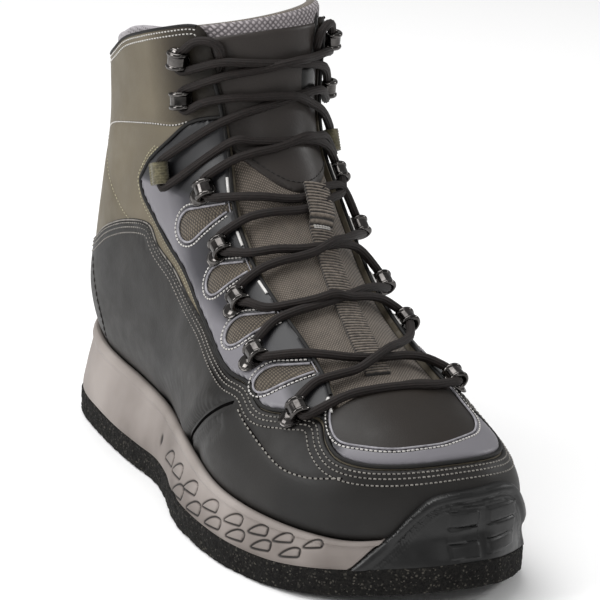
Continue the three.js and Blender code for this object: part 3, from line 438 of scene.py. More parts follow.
# Closed solid from a top and a bottom sheet of the same faces
def closeSheet(faces, count):
    edges = np.concatenate([faces[:, [0, 1]], faces[:, [1, 2]], faces[:, [2, 0]]])
    forward, back = edges[:, 0] * count + edges[:, 1], edges[:, 1] * count + edges[:, 0]
    rim = edges[~np.isin(forward, back)]
    sides = [np.stack([rim[:, 1], rim[:, 0], rim[:, 0] + count], 1)]
    sides.append(np.stack([rim[:, 1], rim[:, 0] + count, rim[:, 1] + count], 1))
    return np.concatenate([faces, faces[:, ::-1] + count] + sides)


def rounded(distance, radius):
    return np.sqrt(1 - (1 - np.clip(distance / radius, 0, 1)) ** 2)


def finishPiece(piece, slot, *nodes):
    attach(piece, "root")
    if nodes:
        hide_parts(*nodes)
    return piece


# A panel on the last: top and bottom are growths, one number or one for each point
def makePanel(name, sheet, top, bottom, material, values=("throat",), smooth=50):
    count = len(sheet["base"])
    top, bottom = np.broadcast_to(top, count)[:, None], np.broadcast_to(bottom, count)[:, None]
    points = np.concatenate([sheet["base"] + sheet["lift"] * top, sheet["base"] + sheet["lift"] * bottom])
    piece = makeObject(name, points, closeSheet(sheet["faces"], count), material, smooth)
    for value in values:
        addValue(piece, value, np.tile(sheet[value], 2))
    return piece


# Round cord along a line, with ribs along it and closed ends
def cordMesh(line, radius, sides=8, ribs=0, ribDepth=0.0, closed=False, twist=0.0, normal=None):
    line = np.asarray(line, float)
    count = len(line)
    if closed:
        tangents = np.roll(line, -1, 0) - np.roll(line, 1, 0)
    else:
        tangents = np.gradient(line, axis=0)
    tangents /= np.linalg.norm(tangents, axis=1)[:, None]
    side = np.cross(tangents[0], normal if normal is not None else (0.0, 0.0, 1.0))
    frames = []
    for tangent in tangents:
        side = side - tangent * (side @ tangent)
        side /= np.linalg.norm(side)
        frames.append((side, np.cross(tangent, side)))
    frames = np.array(frames)
    around = np.arange(sides) / sides * 2 * np.pi
    radii = radius * np.ones(sides)
    if ribs:
        radii = radii + ribDepth * np.abs(np.cos(around * ribs / 2)) - ribDepth / 2
    turns = around[None, :] + twist * np.arange(count)[:, None]
    rings = line[:, None, :] + radii[None, :, None] * (
        np.cos(turns)[..., None] * frames[:, None, 0, :] + np.sin(turns)[..., None] * frames[:, None, 1, :])
    points = rings.reshape(-1, 3)
    faces = gridFaces(count, sides, closed=True)
    if closed:
        seam = np.arange(sides)
        ahead = (seam + 1) % sides
        start = (count - 1) * sides
        joint = [np.stack([start + seam, start + ahead, ahead], 1), np.stack([start + seam, ahead, seam], 1)]
        faces = np.concatenate([faces] + joint)
    else:
        ring = np.arange(sides)
        ends = [np.stack([(ring + 1) % sides, ring, np.full(sides, len(points))], 1)]
        last = (count - 1) * sides
        ends.append(np.stack([last + ring, last + (ring + 1) % sides, np.full(sides, len(points) + 1)], 1))
        points = np.concatenate([points, line[:1], line[-1:]])
        faces = np.concatenate([faces] + ends)
    corners = points[faces]
    volume = np.einsum("ij,ij->i", corners[:, 0], np.cross(corners[:, 1], corners[:, 2])).sum()
    return points, faces if volume > 0 else faces[:, ::-1]


def joinMeshes(parts):
    points, faces, start = [], [], 0
    for part, partFaces in parts:
        points.append(part)
        faces.append(partFaces + start)
        start += len(part)
    return np.concatenate(points), np.concatenate(faces)


# Stitches along a line that lies on a sheet: short rounded threads that dip at both ends
def stitchMesh(line, pitch, length, width, rise=0.25):
    path = line["base"] + line["lift"] * line["grow"]
    along = np.concatenate([[0], np.cumsum(np.linalg.norm(np.diff(path, axis=0), axis=1))])
    count = int(along[-1] / pitch)
    if count < 1:
        return None
    starts = (np.arange(count) + 0.5) * along[-1] / count
    normal = line["lift"] / np.linalg.norm(line["lift"], axis=1)[:, None]
    steps = np.linspace(-0.5, 0.5, 5)
    parts = []
    for start in starts:
        places = start + steps * length
        points = np.stack([np.interp(places, along, column) for column in path.T], 1)
        out = np.array([np.interp(start, along, column) for column in normal.T])
        lifts = (rise * (1 - (2 * steps) ** 4) - 0.12)[:, None] * out
        parts.append(cordMesh(points + lifts, width / 2, sides=5, normal=out))
    return joinMeshes(parts)


# materials

def linear(hexColour):
    parts = [int(hexColour[i:i + 2], 16) / 255 for i in (0, 2, 4)]
    return tuple(c / 12.92 if c <= 0.04045 else ((c + 0.055) / 1.055) ** 2.4 for c in parts) + (1.0,)


def addNode(tree, kind, settings=None, links=None):
    node = tree.nodes.new(kind)
    for key, value in (settings or {}).items():
        if isinstance(key, int) or key in node.inputs:
            node.inputs[key].default_value = value
        else:
            setattr(node, key, value)
    for key, source in (links or {}).items():
        tree.links.new(source, node.inputs[key])
    return node


def newMaterial(name, settings):
    material = bpy.data.materials.new(name)
    material.use_nodes = True
    tree = material.node_tree
    shader = tree.nodes["Principled BSDF"]
    for key, value in settings.items():
        shader.inputs[key].default_value = value
    coords = tree.nodes.new("ShaderNodeTexCoord")
    return material, tree, shader, coords


# Object coordinates are metres: a scale of 1000 / size gives one cell in so many millimetres
def cells(size):
    return 1000 / size


def noiseAt(tree, coords, size, detail=3.0, roughness=0.6, stretch=None, source="Object"):
    vector = coords.outputs[source]
    if stretch:
        vector = addNode(tree, "ShaderNodeMapping", {"Scale": stretch}, {"Vector": vector}).outputs["Vector"]
    settings = {"Scale": cells(size), "Detail": detail, "Roughness": roughness}
    return addNode(tree, "ShaderNodeTexNoise", settings, {"Vector": vector}).outputs["Fac"]


def rampBetween(tree, factor, stops):
    ramp = addNode(tree, "ShaderNodeValToRGB", links={"Fac": factor})
    elements = ramp.color_ramp.elements
    while len(elements) < len(stops):
        elements.new(0.5)
    for element, (place, colour) in zip(elements, stops):
        element.position = place
        element.color = linear(colour) if isinstance(colour, str) else (colour, colour, colour, 1)
    return ramp.outputs["Color"]


def bumpFrom(tree, shader, heightSource, distance, strength=1.0, before=None):
    links = {"Height": heightSource}
    if before:
        links["Normal"] = before
    bump = addNode(tree, "ShaderNodeBump", {"Strength": strength, "Distance": distance * metre}, links)
    tree.links.new(bump.outputs["Normal"], shader.inputs["Normal"])
    return bump.outputs["Normal"]


# Coated synthetic leather, embossed with a fine grain: a soft broad sheen with cloudy patches where it is rubbed
def leatherMaterial(name, dark, light, roughness=(0.46, 0.56), grain=1.1, grainDepth=0.05, coat=0.0):
    material, tree, shader, coords = newMaterial(name, {"Specular IOR Level": 0.28, "Coat Weight": coat, "Coat Roughness": 0.3})
    cloud = noiseAt(tree, coords, 55, 3, 0.5)
    colour = rampBetween(tree, cloud, [(0.3, dark), (0.7, light)])
    tree.links.new(colour, shader.inputs["Base Color"])
    rubbed = addNode(tree, "ShaderNodeMapRange",
                     {"From Min": 0.3, "From Max": 0.7, "To Min": roughness[0], "To Max": roughness[1]},
                     {"Value": noiseAt(tree, coords, 12, 3)})
    tree.links.new(rubbed.outputs["Result"], shader.inputs["Roughness"])
    pebbles = addNode(tree, "ShaderNodeTexVoronoi", {"Scale": cells(grain), "Randomness": 0.9},
                      {"Vector": coords.outputs["Object"]})
    first = bumpFrom(tree, shader, pebbles.outputs["Distance"], grainDepth, 0.6)
    bumpFrom(tree, shader, noiseAt(tree, coords, 9, 2), 0.2, 0.25, first)
    return material, tree, shader, coords


charcoalLeather = leatherMaterial("charcoalLeather", "171615", "23211f")[0]
tongueLeather = leatherMaterial("tongueLeather", "2b2725", "393431", roughness=(0.4, 0.52))[0]
blackLeather = leatherMaterial("blackLeather", "121211", "1c1b1a", roughness=(0.3, 0.42), coat=0.25)[0]
oliveLeather, tree, shader, coords = leatherMaterial("oliveLeather", "585143", "6d6555", roughness=(0.5, 0.65))
insertLeather = leatherMaterial("insertLeather", "1d1a17", "28231f", roughness=(0.4, 0.5), grain=0.7)[0]


# Painted shade: the collar panel's colour is taken down to a dark brown towards the throat
def paintShadeAtThroat():
    away = addNode(tree, "ShaderNodeAttribute", {"attribute_name": "fromThroat"})
    place = addNode(tree, "ShaderNodeMapRange", {"From Min": 4.0, "From Max": 40.0}, {"Value": away.outputs["Fac"]})
    shade = rampBetween(tree, place.outputs["Result"], [(0.0, "4c4640"), (0.5, "8f8983"), (1.0, "ffffff")])
    before = shader.inputs["Base Color"].links[0].from_socket
    mixed = addNode(tree, "ShaderNodeMix", {"data_type": "RGBA", "blend_type": "MULTIPLY", "Factor": 1.0})
    tree.links.new(before, mixed.inputs[6])
    tree.links.new(shade, mixed.inputs[7])
    tree.links.new(mixed.outputs[2], shader.inputs["Base Color"])


paintShadeAtThroat()


# Silver grey microfibre, coated: smooth, lilac in the light, slate near the throat where shade is painted on, and dark
# above about 140 mm
def silverMaterial():
    material, tree, shader, coords = newMaterial("silverMicrofibre", {"Roughness": 0.42, "IOR": 1.45})
    # Painted shade: the stay darkens towards the throat edge
    away = addNode(tree, "ShaderNodeAttribute", {"attribute_name": "throat"})
    shade = addNode(tree, "ShaderNodeMapRange", {"From Min": 11.0, "From Max": 19.5, "To Min": 0.0, "To Max": 1.0},
                    {"Value": away.outputs["Fac"]})
    place = addNode(tree, "ShaderNodeSeparateXYZ", links={"Vector": coords.outputs["Object"]})
    low = addNode(tree, "ShaderNodeMapRange", {"From Min": 0.1410, "From Max": 0.1365, "To Min": 0.0, "To Max": 1.0},
                  {"Value": place.outputs["Z"]})
    both = addNode(tree, "ShaderNodeMath", {"operation": "MULTIPLY"},
                   {0: shade.outputs["Result"], 1: low.outputs["Result"]})
    cloud = addNode(tree, "ShaderNodeMath", {"operation": "MULTIPLY_ADD", 1: 0.2},
                    {0: noiseAt(tree, coords, 20), 2: both.outputs["Value"]})
    colour = rampBetween(tree, cloud.outputs["Value"], [(0.12, "17171a"), (0.6, "37363b"), (1.0, "737176")])
    tree.links.new(colour, shader.inputs["Base Color"])
    bumpFrom(tree, shader, noiseAt(tree, coords, 0.6, 2), 0.03, 0.5)
    return material


silverMicrofibre = silverMaterial()


# Woven ripstop mesh: fine threads both ways with a thicker thread at even spacings, matt, brown grey
def ripstopMaterial(name, dark, light, turn, thread=1.5, source="Object"):
    material, tree, shader, coords = newMaterial(name, {"Roughness": 0.85, "Sheen Weight": 0.15})
    turned = addNode(tree, "ShaderNodeMapping", {"Rotation": turn}, {"Vector": coords.outputs[source]})
    waves = []
    for axis in ("X", "Y"):
        wave = addNode(tree, "ShaderNodeTexWave",
                       {"wave_type": "BANDS", "bands_direction": axis, "Scale": cells(thread) / 20 * 2 * math.pi,
                        "Distortion": 0.6, "Detail": 1.0},
                       {"Vector": turned.outputs["Vector"]})
        waves.append(wave.outputs["Fac"])
    weave = addNode(tree, "ShaderNodeMath", {"operation": "MULTIPLY"}, {0: waves[0], 1: waves[1]})
    mottled = addNode(tree, "ShaderNodeMath", {"operation": "MULTIPLY_ADD", 1: 0.45},
                      {0: noiseAt(tree, coords, 6, 4, source=source), 2: weave.outputs["Value"]})
    colour = rampBetween(tree, mottled.outputs["Value"], [(0.12, dark), (0.8, light)])
    tree.links.new(colour, shader.inputs["Base Color"])
    bumpFrom(tree, shader, weave.outputs["Value"], 0.3, 0.8)
    return material


windowMesh = ripstopMaterial("windowRipstop", "211c18", "6b6153", (0.5, 0.6, 0.35), 1.15)
tongueMesh = ripstopMaterial("tongueRipstop", "3b3630", "7b7065", (0, 0, 0.75), 1.05, source="UV")


# Moulded EVA foam: a satin skin with very fine pits, taupe grey, a little darker towards the bottom, with painted shade
# in the side grooves
def evaMaterial():
    material, tree, shader, coords = newMaterial("mouldedEva", {"Roughness": 0.62, "IOR": 1.45})
    place = addNode(tree, "ShaderNodeSeparateXYZ", links={"Vector": coords.outputs["Object"]})
    low = addNode(tree, "ShaderNodeMapRange", {"From Min": 0.012, "From Max": 0.04, "To Min": -0.18, "To Max": 0.0},
                  {"Value": place.outputs["Z"]})
    cloud = addNode(tree, "ShaderNodeMath", {"operation": "ADD"},
                    {0: noiseAt(tree, coords, 40, 3, 0.4), 1: low.outputs["Result"]})
    # Painted shade: the side grooves are darkened by their depth
    sunk = addNode(tree, "ShaderNodeAttribute", {"attribute_name": "groove"})
    shade = addNode(tree, "ShaderNodeMath", {"operation": "MULTIPLY_ADD", 1: -0.62},
                    {0: sunk.outputs["Fac"], 2: cloud.outputs["Value"]})
    stops = [(0.0, "2a2624"), (0.2, "665e59"), (0.36, "827a75"), (0.62, "9a928d")]
    colour = rampBetween(tree, shade.outputs["Value"], stops)
    tree.links.new(colour, shader.inputs["Base Color"])
    bumpFrom(tree, shader, noiseAt(tree, coords, 0.7, 2), 0.04, 0.5)
    return material


mouldedEva = evaMaterial()


# Pressed felt, cut with a knife: rough and matt, near black, with pale fibres showing as specks
def feltMaterial():
    material, tree, shader, coords = newMaterial("pressedFelt", {"Roughness": 0.97, "Specular IOR Level": 0.2})
    specks = addNode(tree, "ShaderNodeTexVoronoi", {"Scale": cells(0.75), "Randomness": 1.0},
                     {"Vector": coords.outputs["Object"]})
    tone = addNode(tree, "ShaderNodeSeparateColor", links={"Color": specks.outputs["Color"]})
    colour = rampBetween(tree, tone.outputs["Red"], [(0.0, "0e0d0d"), (0.9, "1d1c1a"), (1.0, "4d4a44")])
    tree.links.new(colour, shader.inputs["Base Color"])
    bumpFrom(tree, shader, noiseAt(tree, coords, 1.8, 4, 0.8), 0.9, 1.0)
    return material


pressedFelt = feltMaterial()


# Moulded rubber: black with a green tinge, satin, finely stippled
def rubberMaterial():
    material, tree, shader, coords = newMaterial("mouldedRubber", {"Specular IOR Level": 0.42})
    colour = rampBetween(tree, noiseAt(tree, coords, 18, 4), [(0.3, "0a0a0a"), (0.7, "131313")])
    tree.links.new(colour, shader.inputs["Base Color"])
    uneven = addNode(tree, "ShaderNodeMapRange", {"From Min": 0.3, "From Max": 0.7, "To Min": 0.34, "To Max": 0.5},
                   {"Value": noiseAt(tree, coords, 7, 3)})
    tree.links.new(uneven.outputs["Result"], shader.inputs["Roughness"])
    bumpFrom(tree, shader, noiseAt(tree, coords, 0.8, 2), 0.05, 0.6)
    return material


mouldedRubber = rubberMaterial()


# Spacer mesh: knitted polyester with small round holes in even rows, light grey, matt
def spacerMaterial(name, dark, light, hole=2.0):
    material, tree, shader, coords = newMaterial(name, {"Roughness": 0.9, "Sheen Weight": 0.2})
    holes = addNode(tree, "ShaderNodeTexVoronoi", {"Scale": cells(hole), "Randomness": 0.15},
                    {"Vector": coords.outputs["Object"]})
    colour = rampBetween(tree, holes.outputs["Distance"], [(0.12, dark), (0.4, light)])
    tree.links.new(colour, shader.inputs["Base Color"])
    bumpFrom(tree, shader, holes.outputs["Distance"], 0.6, 0.9)
    return material


collarMesh = spacerMaterial("collarSpacerMesh", "4e4b4c", "959195")
rimMesh = ripstopMaterial("tongueSpacerMesh", "433e40", "a29b9d", (-math.pi / 2, 0, 0.785), 1.9)


# Polyester thread, twisted: a dull sheen, pale against the leather
def threadMaterial(name, colour):
    material, tree, shader, coords = newMaterial(name, {"Roughness": 0.6, "Specular IOR Level": 0.3})
    tone = rampBetween(tree, noiseAt(tree, coords, 3), [(0.3, colour[0]), (0.7, colour[1])])
    tree.links.new(tone, shader.inputs["Base Color"])
    return material


paleThread = threadMaterial("palePolyesterThread", ("b4b1ad", "d6d3cf"))
greyThread = threadMaterial("greyPolyesterThread", ("64615d", "918d87"))
darkThread = threadMaterial("darkPolyesterThread", ("1d1b1a", "2d2a28"))
oliveThread = threadMaterial("olivePolyesterThread", ("918b74", "b8b297"))
reflectiveTape = threadMaterial("reflectiveTape", ("c4c2bf", "e4e2df"))
insoleCloth = spacerMaterial("insoleCloth", "1f1e1e", "3a3837", 1.6)
paleBinding = threadMaterial("paleBindingTape", ("77757a", "a3a1a6"))
blackBinding = threadMaterial("blackBindingTape", ("0b0a0a", "151413"))


# Painted shade for the bottom of a sewn groove: dull, nearly black
def grooveMaterial():
    material, tree, shader, coords = newMaterial("grooveShade", {"Roughness": 1.0, "Specular IOR Level": 0.0})
    tone = rampBetween(tree, noiseAt(tree, coords, 4, 2), [(0.3, "070707"), (0.7, "0f0e0e")])
    tree.links.new(tone, shader.inputs["Base Color"])
    return material


grooveShade = grooveMaterial()


print("materials made")


# the upper's skin, before it is cut into panels

skin = {"rowStep": 1.7, "angles": 250, "seamDip": 0.5}

collarTable = np.array([
    [-0.05, 1.370], [0.04, 1.390], [0.10, 1.430], [0.15, 1.530], [0.20, 1.670], [0.26, 1.775], [0.32, 1.870],
    [0.36, 1.925], [0.375, 1.900], [0.385, 1.800], [0.393, 1.660], [0.410, 1.560], [0.450, 1.500],
])
lowerTable = np.array([
    [-0.060, 0.480], [0.020, 0.490], [0.105, 0.537], [0.176, 0.632], [0.250, 0.699], [0.317, 0.724],
    [0.352, 0.669], [0.404, 0.625], [0.458, 0.559], [0.529, 0.511], [0.580, 0.470], [0.640, 0.430],
    [0.690, 0.420], [0.731, 0.375], [0.780, 0.382], [0.812, 0.378], [0.845, 0.320], [0.878, 0.278],
    [0.925, 0.255], [1.000, 0.250],
])
stayTable = np.array([
    [0.285, 0.860], [0.305, 0.800], [0.365, 0.712], [0.420, 0.652], [0.480, 0.572], [0.535, 0.522], [0.590, 0.478],
])
stayTopTable = np.array([[0.430, 1.300], [0.380, 1.225], [0.343, 1.045], [0.304, 0.935]])
windowTable = np.array([ # round end: run, rise; tip: run, rise; radius
    [0.420, 0.775, 0.480, 0.880, 0.050], [0.515, 0.650, 0.567, 0.735, 0.045],
    [0.612, 0.545, 0.655, 0.620, 0.042], [0.712, 0.452, 0.752, 0.510, 0.036],
])
insertTable = np.array([ # seen from above: run, across
    [0.790, -0.215], [0.822, -0.262], [0.850, -0.272], [0.872, -0.235], [0.897, -0.150], [0.910, -0.060],
    [0.914, 0.070], [0.902, 0.190], [0.885, 0.255], [0.850, 0.300], [0.815, 0.298], [0.780, 0.290],
])
stayMargin = 1.6
far = 600.0


def sideLine(table, lift=True):
    run = table[:, 0] * boot["length"]
    rise = height(table[:, 1]) + (toeLift(run) if lift else 0)
    return smoothLine(np.stack([run, rise], 1), 1.5)


def rimHeight(run):
    return height(lookUp(rimTable, run / boot["length"])[..., 1]) + toeLift(run)


def windowOutline(row):
    centre = np.array([row[0] * boot["length"], float(height(row[1]))])
    tip = np.array([row[2] * boot["length"], float(height(row[3]))])
    radius = row[4] * boot["instepRise"]
    way = math.atan2(*(tip - centre)[::-1])
    turns = way + np.radians(np.linspace(62, 298, 22))
    arc = centre + radius * np.stack([np.cos(turns), np.sin(turns)], 1)
    return np.concatenate([tip[None], arc])


def skinFields(rows, angles):
    base = lastPoint(rows[:, None], angles[None, :])
    lift = lastPoint(rows[:, None], angles[None, :], 1.0) - base
    x, run, z = base[..., 0], boot["length"] / 2 - base[..., 1], base[..., 2]
    row = np.broadcast_to(rows[:, None], x.shape)
    fields = {"base": base, "lift": lift}
    collar = sideLine(collarTable, False)
    under = np.concatenate([collar, [[far, collar[-1, 1]], [far, -far], [-far, -far], [-far, collar[0, 1]]]])
    fields["collar"] = surfaceDistance(polygonDistance(run, z, under), base)
    throat = lookUp(throatTable, row) * boot["heelWidth"]
    ridge = (angles > np.pi / 2) & (angles < 3 * np.pi / 2)
    share = (x + throat[..., 1]) / (throat[..., 1] + throat[..., 2])
    startRow = throatStarts[0] + (throatStarts[1] - throatStarts[0]) * share
    rowLength = np.gradient(lastPoint(rows, np.pi)[:, 1:], axis=0)
    rowLength = np.linalg.norm(rowLength, axis=1) / np.gradient(rows)
    before = (startRow - row) * rowLength[:, None]
    outside = np.maximum.reduce([x - throat[..., 2], -throat[..., 1] - x, before])
    fields["throat"] = np.where(ridge[None, :], outside, 60.0)
    fields["rim"] = z - rimHeight(run)
    lower = sideLine(lowerTable)
    below = np.concatenate([lower, [[far, lower[-1, 1]], [far, -far], [-far, -far], [-far, lower[0, 1]]]])
    fields["lower"] = surfaceDistance(polygonDistance(run, z, below), base)
    back, top = sideLine(stayTable), sideLine(stayTopTable)
    edge = lower + [0, stayMargin]
    edge = edge[edge[:, 0] > back[-1, 0]]
    stay = np.concatenate([back, edge, [[far, edge[-1, 1]], [far, far], [top[0, 0], far]], top])
    fields["stay"] = surfaceDistance(polygonDistance(run, z, stay), base)
    insert = smoothLine(insertTable, 0.01) * [boot["length"], boot["ballWidth"]]
    inside = polygonDistance(run, x, insert)
    fields["insert"] = np.where(z > 40, surfaceDistance(inside, base), -60.0)
    windows = np.maximum.reduce([polygonDistance(run, z, windowOutline(row)) for row in windowTable])
    fields["window"] = surfaceDistance(windows, base)
    fields["run"], fields["across"] = run, x
    return fields


def makeSheet(rows, angles):
    fields = skinFields(rows, angles)
    sheet = {name: value.reshape(-1, 3) if value.ndim == 3 else value.ravel() for name, value in fields.items()}
    sheet["faces"] = faceOut(gridFaces(len(rows), len(angles), True), sheet["base"], sheet["lift"])
    return sheet


skinRows = evenRows(0, lastRow, skin["rowStep"])
skinAngles = evenAngles(skin["angles"])
whole = makeSheet(skinRows, skinAngles)
print("skin of the last:", len(whole["base"]), "points")


# seams and creases, drawn in the side view: run, z

def surfaceLine(points, side, step=0.8):
    line = smoothLine(points, 1.0)
    row, angle = sidePlace(line[:, 0], line[:, 1], side)
    base = lastPoint(row, angle)
    lift = lastPoint(row, angle, 1.0) - base
    both = evenLine(np.concatenate([base, lift], 1), step) if step else np.concatenate([base, lift], 1)
    return {"base": both[:, :3], "lift": both[:, 3:]}


seams = {
    "oliveUpper": [(33, 140), (36, 148), (47, 153.5), (63, 158), (90, 164), (107, 167), (115, 170.5)],
    "oliveDiagonal": [(33, 140), (41, 133), (55, 124), (70, 117.5), (85, 113), (99, 108)],
    "heelDashes": [(36, 85), (42, 67), (47, 54), (45, 43)],
    "quarterFold": [(168, 36), (181, 46), (193, 56), (205, 65), (213, 70)],
    "foldRidge": [(161, 43), (175, 53), (187, 63), (199, 71), (207, 75)],
    "vampDots": [(217, 68), (224, 64.2), (232, 60.6), (239, 57.6), (247, 54.2), (255, 52), (266, 52), (278, 54.7)],
}
creases = [ # line, depth, width; a negative depth is a ridge
    ([(120, 40), (150, 52), (178, 66), (196, 74)], 0.7, 7.0),
    ([(182, 36), (196, 47), (208, 58)], 0.9, 3.0),
    ([(60, 60), (95, 72), (130, 84)], 0.5, 12.0),
    ([(206, 52), (224, 58), (236, 62)], 0.5, 5.0),
    ([(95, 120), (120, 108), (150, 90)], -0.4, 9.0),
]


def skinRelief():
    relief = np.zeros(len(whole["base"]))
    for side in (-1, 1):
        for name in ("oliveUpper", "oliveDiagonal"):
            gaps = distanceToLine(whole["base"], surfaceLine(seams[name], side)["base"])
            relief -= skin["seamDip"] * np.exp(-(gaps / 1.3) ** 2)
        for points, depth, width in creases:
            gaps = distanceToLine(whole["base"], surfaceLine(points, side)["base"], 40)
            relief -= depth * np.exp(-(gaps / width) ** 2)
    return relief


whole["relief"] = skinRelief()


# olive shell: the whole hollow upper, from the collar down to its turned edge under the foot

def makeShell():
    sheet = trimSheet(whole, np.minimum.reduce([whole["collar"], whole["throat"], whole["rim"] + 15]))
    edge = np.minimum(sheet["collar"], sheet["throat"])
    top = sheet["relief"] - 0.35 + 0.35 * rounded(edge, 1.2)
    piece = makePanel("upper_shell", sheet, top, -boot["wall"], oliveLeather)
    edges = np.concatenate([line["base"] for line in levelLines(whole, whole["throat"], 0.5, 12)])
    run = boot["length"] / 2 - sheet["base"][:, 1]
    seam = 153 + (run - 47) * 0.26                  # height of the collar panel's lower seam
    below = np.clip((seam - sheet["base"][:, 2]) / 5, 0, 1)
    # fromThroat drives the olive leather's painted shade: distance to the throat edge, plus 30 mm below the collar
    # panel's lower seam
    addValue(piece, "fromThroat", np.tile(distanceToLine(sheet["base"], edges, 45) + 30 * below, 2))
    return finishPiece(piece, "olive", "upper")


makeShell()


# charcoal lower shell, from the heel counter round the toe

def makeLowerShell():
    keep = np.minimum.reduce([whole["lower"], whole["throat"] - 1.0, whole["rim"] + 7])
    sheet = trimSheet(whole, keep)
    top = sheet["relief"] + 0.15 + (boot["lowerStep"] - 0.15) * rounded(sheet["lower"], 1.3)
    for side in (-1, 1):
        fold = surfaceLine(seams["quarterFold"], side)["base"]
        gaps = distanceToLine(sheet["base"], fold, 12)
        below = np.clip((sheet["lower"] - 7.2) / 5, 0, 1)     # clear of the stitch rows
        top = top - 1.9 * below * np.exp(-(gaps / 2.2) ** 2)
        ridge = distanceToLine(sheet["base"], surfaceLine(seams["foldRidge"], side)["base"], 12)
        top = top + 1.3 * below * np.exp(-(ridge / 4.0) ** 2)
        dots = distanceToLine(sheet["base"], surfaceLine(seams["vampDots"], side)["base"], 8)
        top = top - 0.25 * np.exp(-(dots / 0.9) ** 2)
    piece = makePanel("lower_shell", sheet, top, 0.02, charcoalLeather)
    return finishPiece(piece, "leather")


makeLowerShell()


# silver lace stay with its windows

whole["window"] = whole["window"] + 0.9     # the skin's windows are a little wider than the solid's


def makeStay():
    keep = np.minimum.reduce([whole["stay"], whole["throat"] - 1.2, -whole["insert"], -whole["window"]])
    sheet = trimSheet(whole, keep)
    edge = np.minimum.reduce([sheet["stay"], sheet["throat"] - 1.2, -sheet["insert"], -sheet["window"]])
    top = 0.3 + (boot["stayTop"] - 0.3) * rounded(edge, 1.2)
    piece = makePanel("lace_stay_skin", sheet, top, 0.1, silverMicrofibre)
    return finishPiece(piece, "stay", "lace_stay")


makeStay()


def makeWindowMesh():
    keep = np.minimum(whole["window"] + 2.0, whole["throat"] - 1.4)
    sheet = trimSheet(whole, keep)
    bulge = 0.3 + 0.75 * np.clip(sheet["window"] / 5, 0, 1) ** 0.7
    piece = makePanel("window_mesh", sheet, bulge, 0.05, windowMesh)
    return finishPiece(piece, "mesh")


makeWindowMesh()


def makeInsert():
    keep = np.minimum(whole["insert"] + 2.2, whole["throat"] - 0.2)
    sheet = trimSheet(whole, keep)
    top = 0.55 + 0.25 * np.clip(sheet["insert"] / 6, 0, 1)
    piece = makePanel("vamp_insert", sheet, top, 0.04, insertLeather)
    return finishPiece(piece, "leather")


makeInsert()


# stitch rows and cords that follow the panels' edges

def edgeLines(keep, value, level, grow, shortest=12):
    sheet = trimSheet(whole, keep)
    lines = levelLines(sheet, value(sheet), level, shortest)
    for line in lines:
        both = np.concatenate([line["base"], line["lift"]], 1)
        both = evenLine(both, 0.8)
        line["base"], line["lift"] = smoothed(both[:, :3]), smoothed(both[:, 3:])
        line["grow"] = grow
    return lines


def smoothed(line, rounds=4):
    for _ in range(rounds):
        line = np.concatenate([line[:1], (line[:-2] + 2 * line[1:-1] + line[2:]) / 4, line[-1:]])
    return line


def makeStitches(name, lines, pitch, length, width, material, slot):
    parts = [stitchMesh(line, pitch, length, width) for line in lines]
    parts = [part for part in parts if part]
    points, faces = joinMeshes(parts)
    return finishPiece(makeObject(name, points, faces, material), slot)


def makeCord(name, lines, radius, material, slot):
    parts = []
    for line in lines:
        path = line["base"] + line["lift"] * line["grow"]
        parts.append(cordMesh(path, radius, 8, normal=line["lift"][0]))
    points, faces = joinMeshes(parts)
    return finishPiece(makeObject(name, points, faces, material), slot)


# A dark cord of painted shade under a row of stitches, sunk so that the thread stands above it
def makeGrooveShade(name, lines, radius=0.42):
    parts = []
    for line in lines:
        path = line["base"] + line["lift"] * (line["grow"] - 0.8 * radius)
        parts.append(cordMesh(path, radius, 5, normal=line["lift"][0]))
    points, faces = joinMeshes(parts)
    return finishPiece(makeObject(name, points, faces, grooveShade), "rubber")


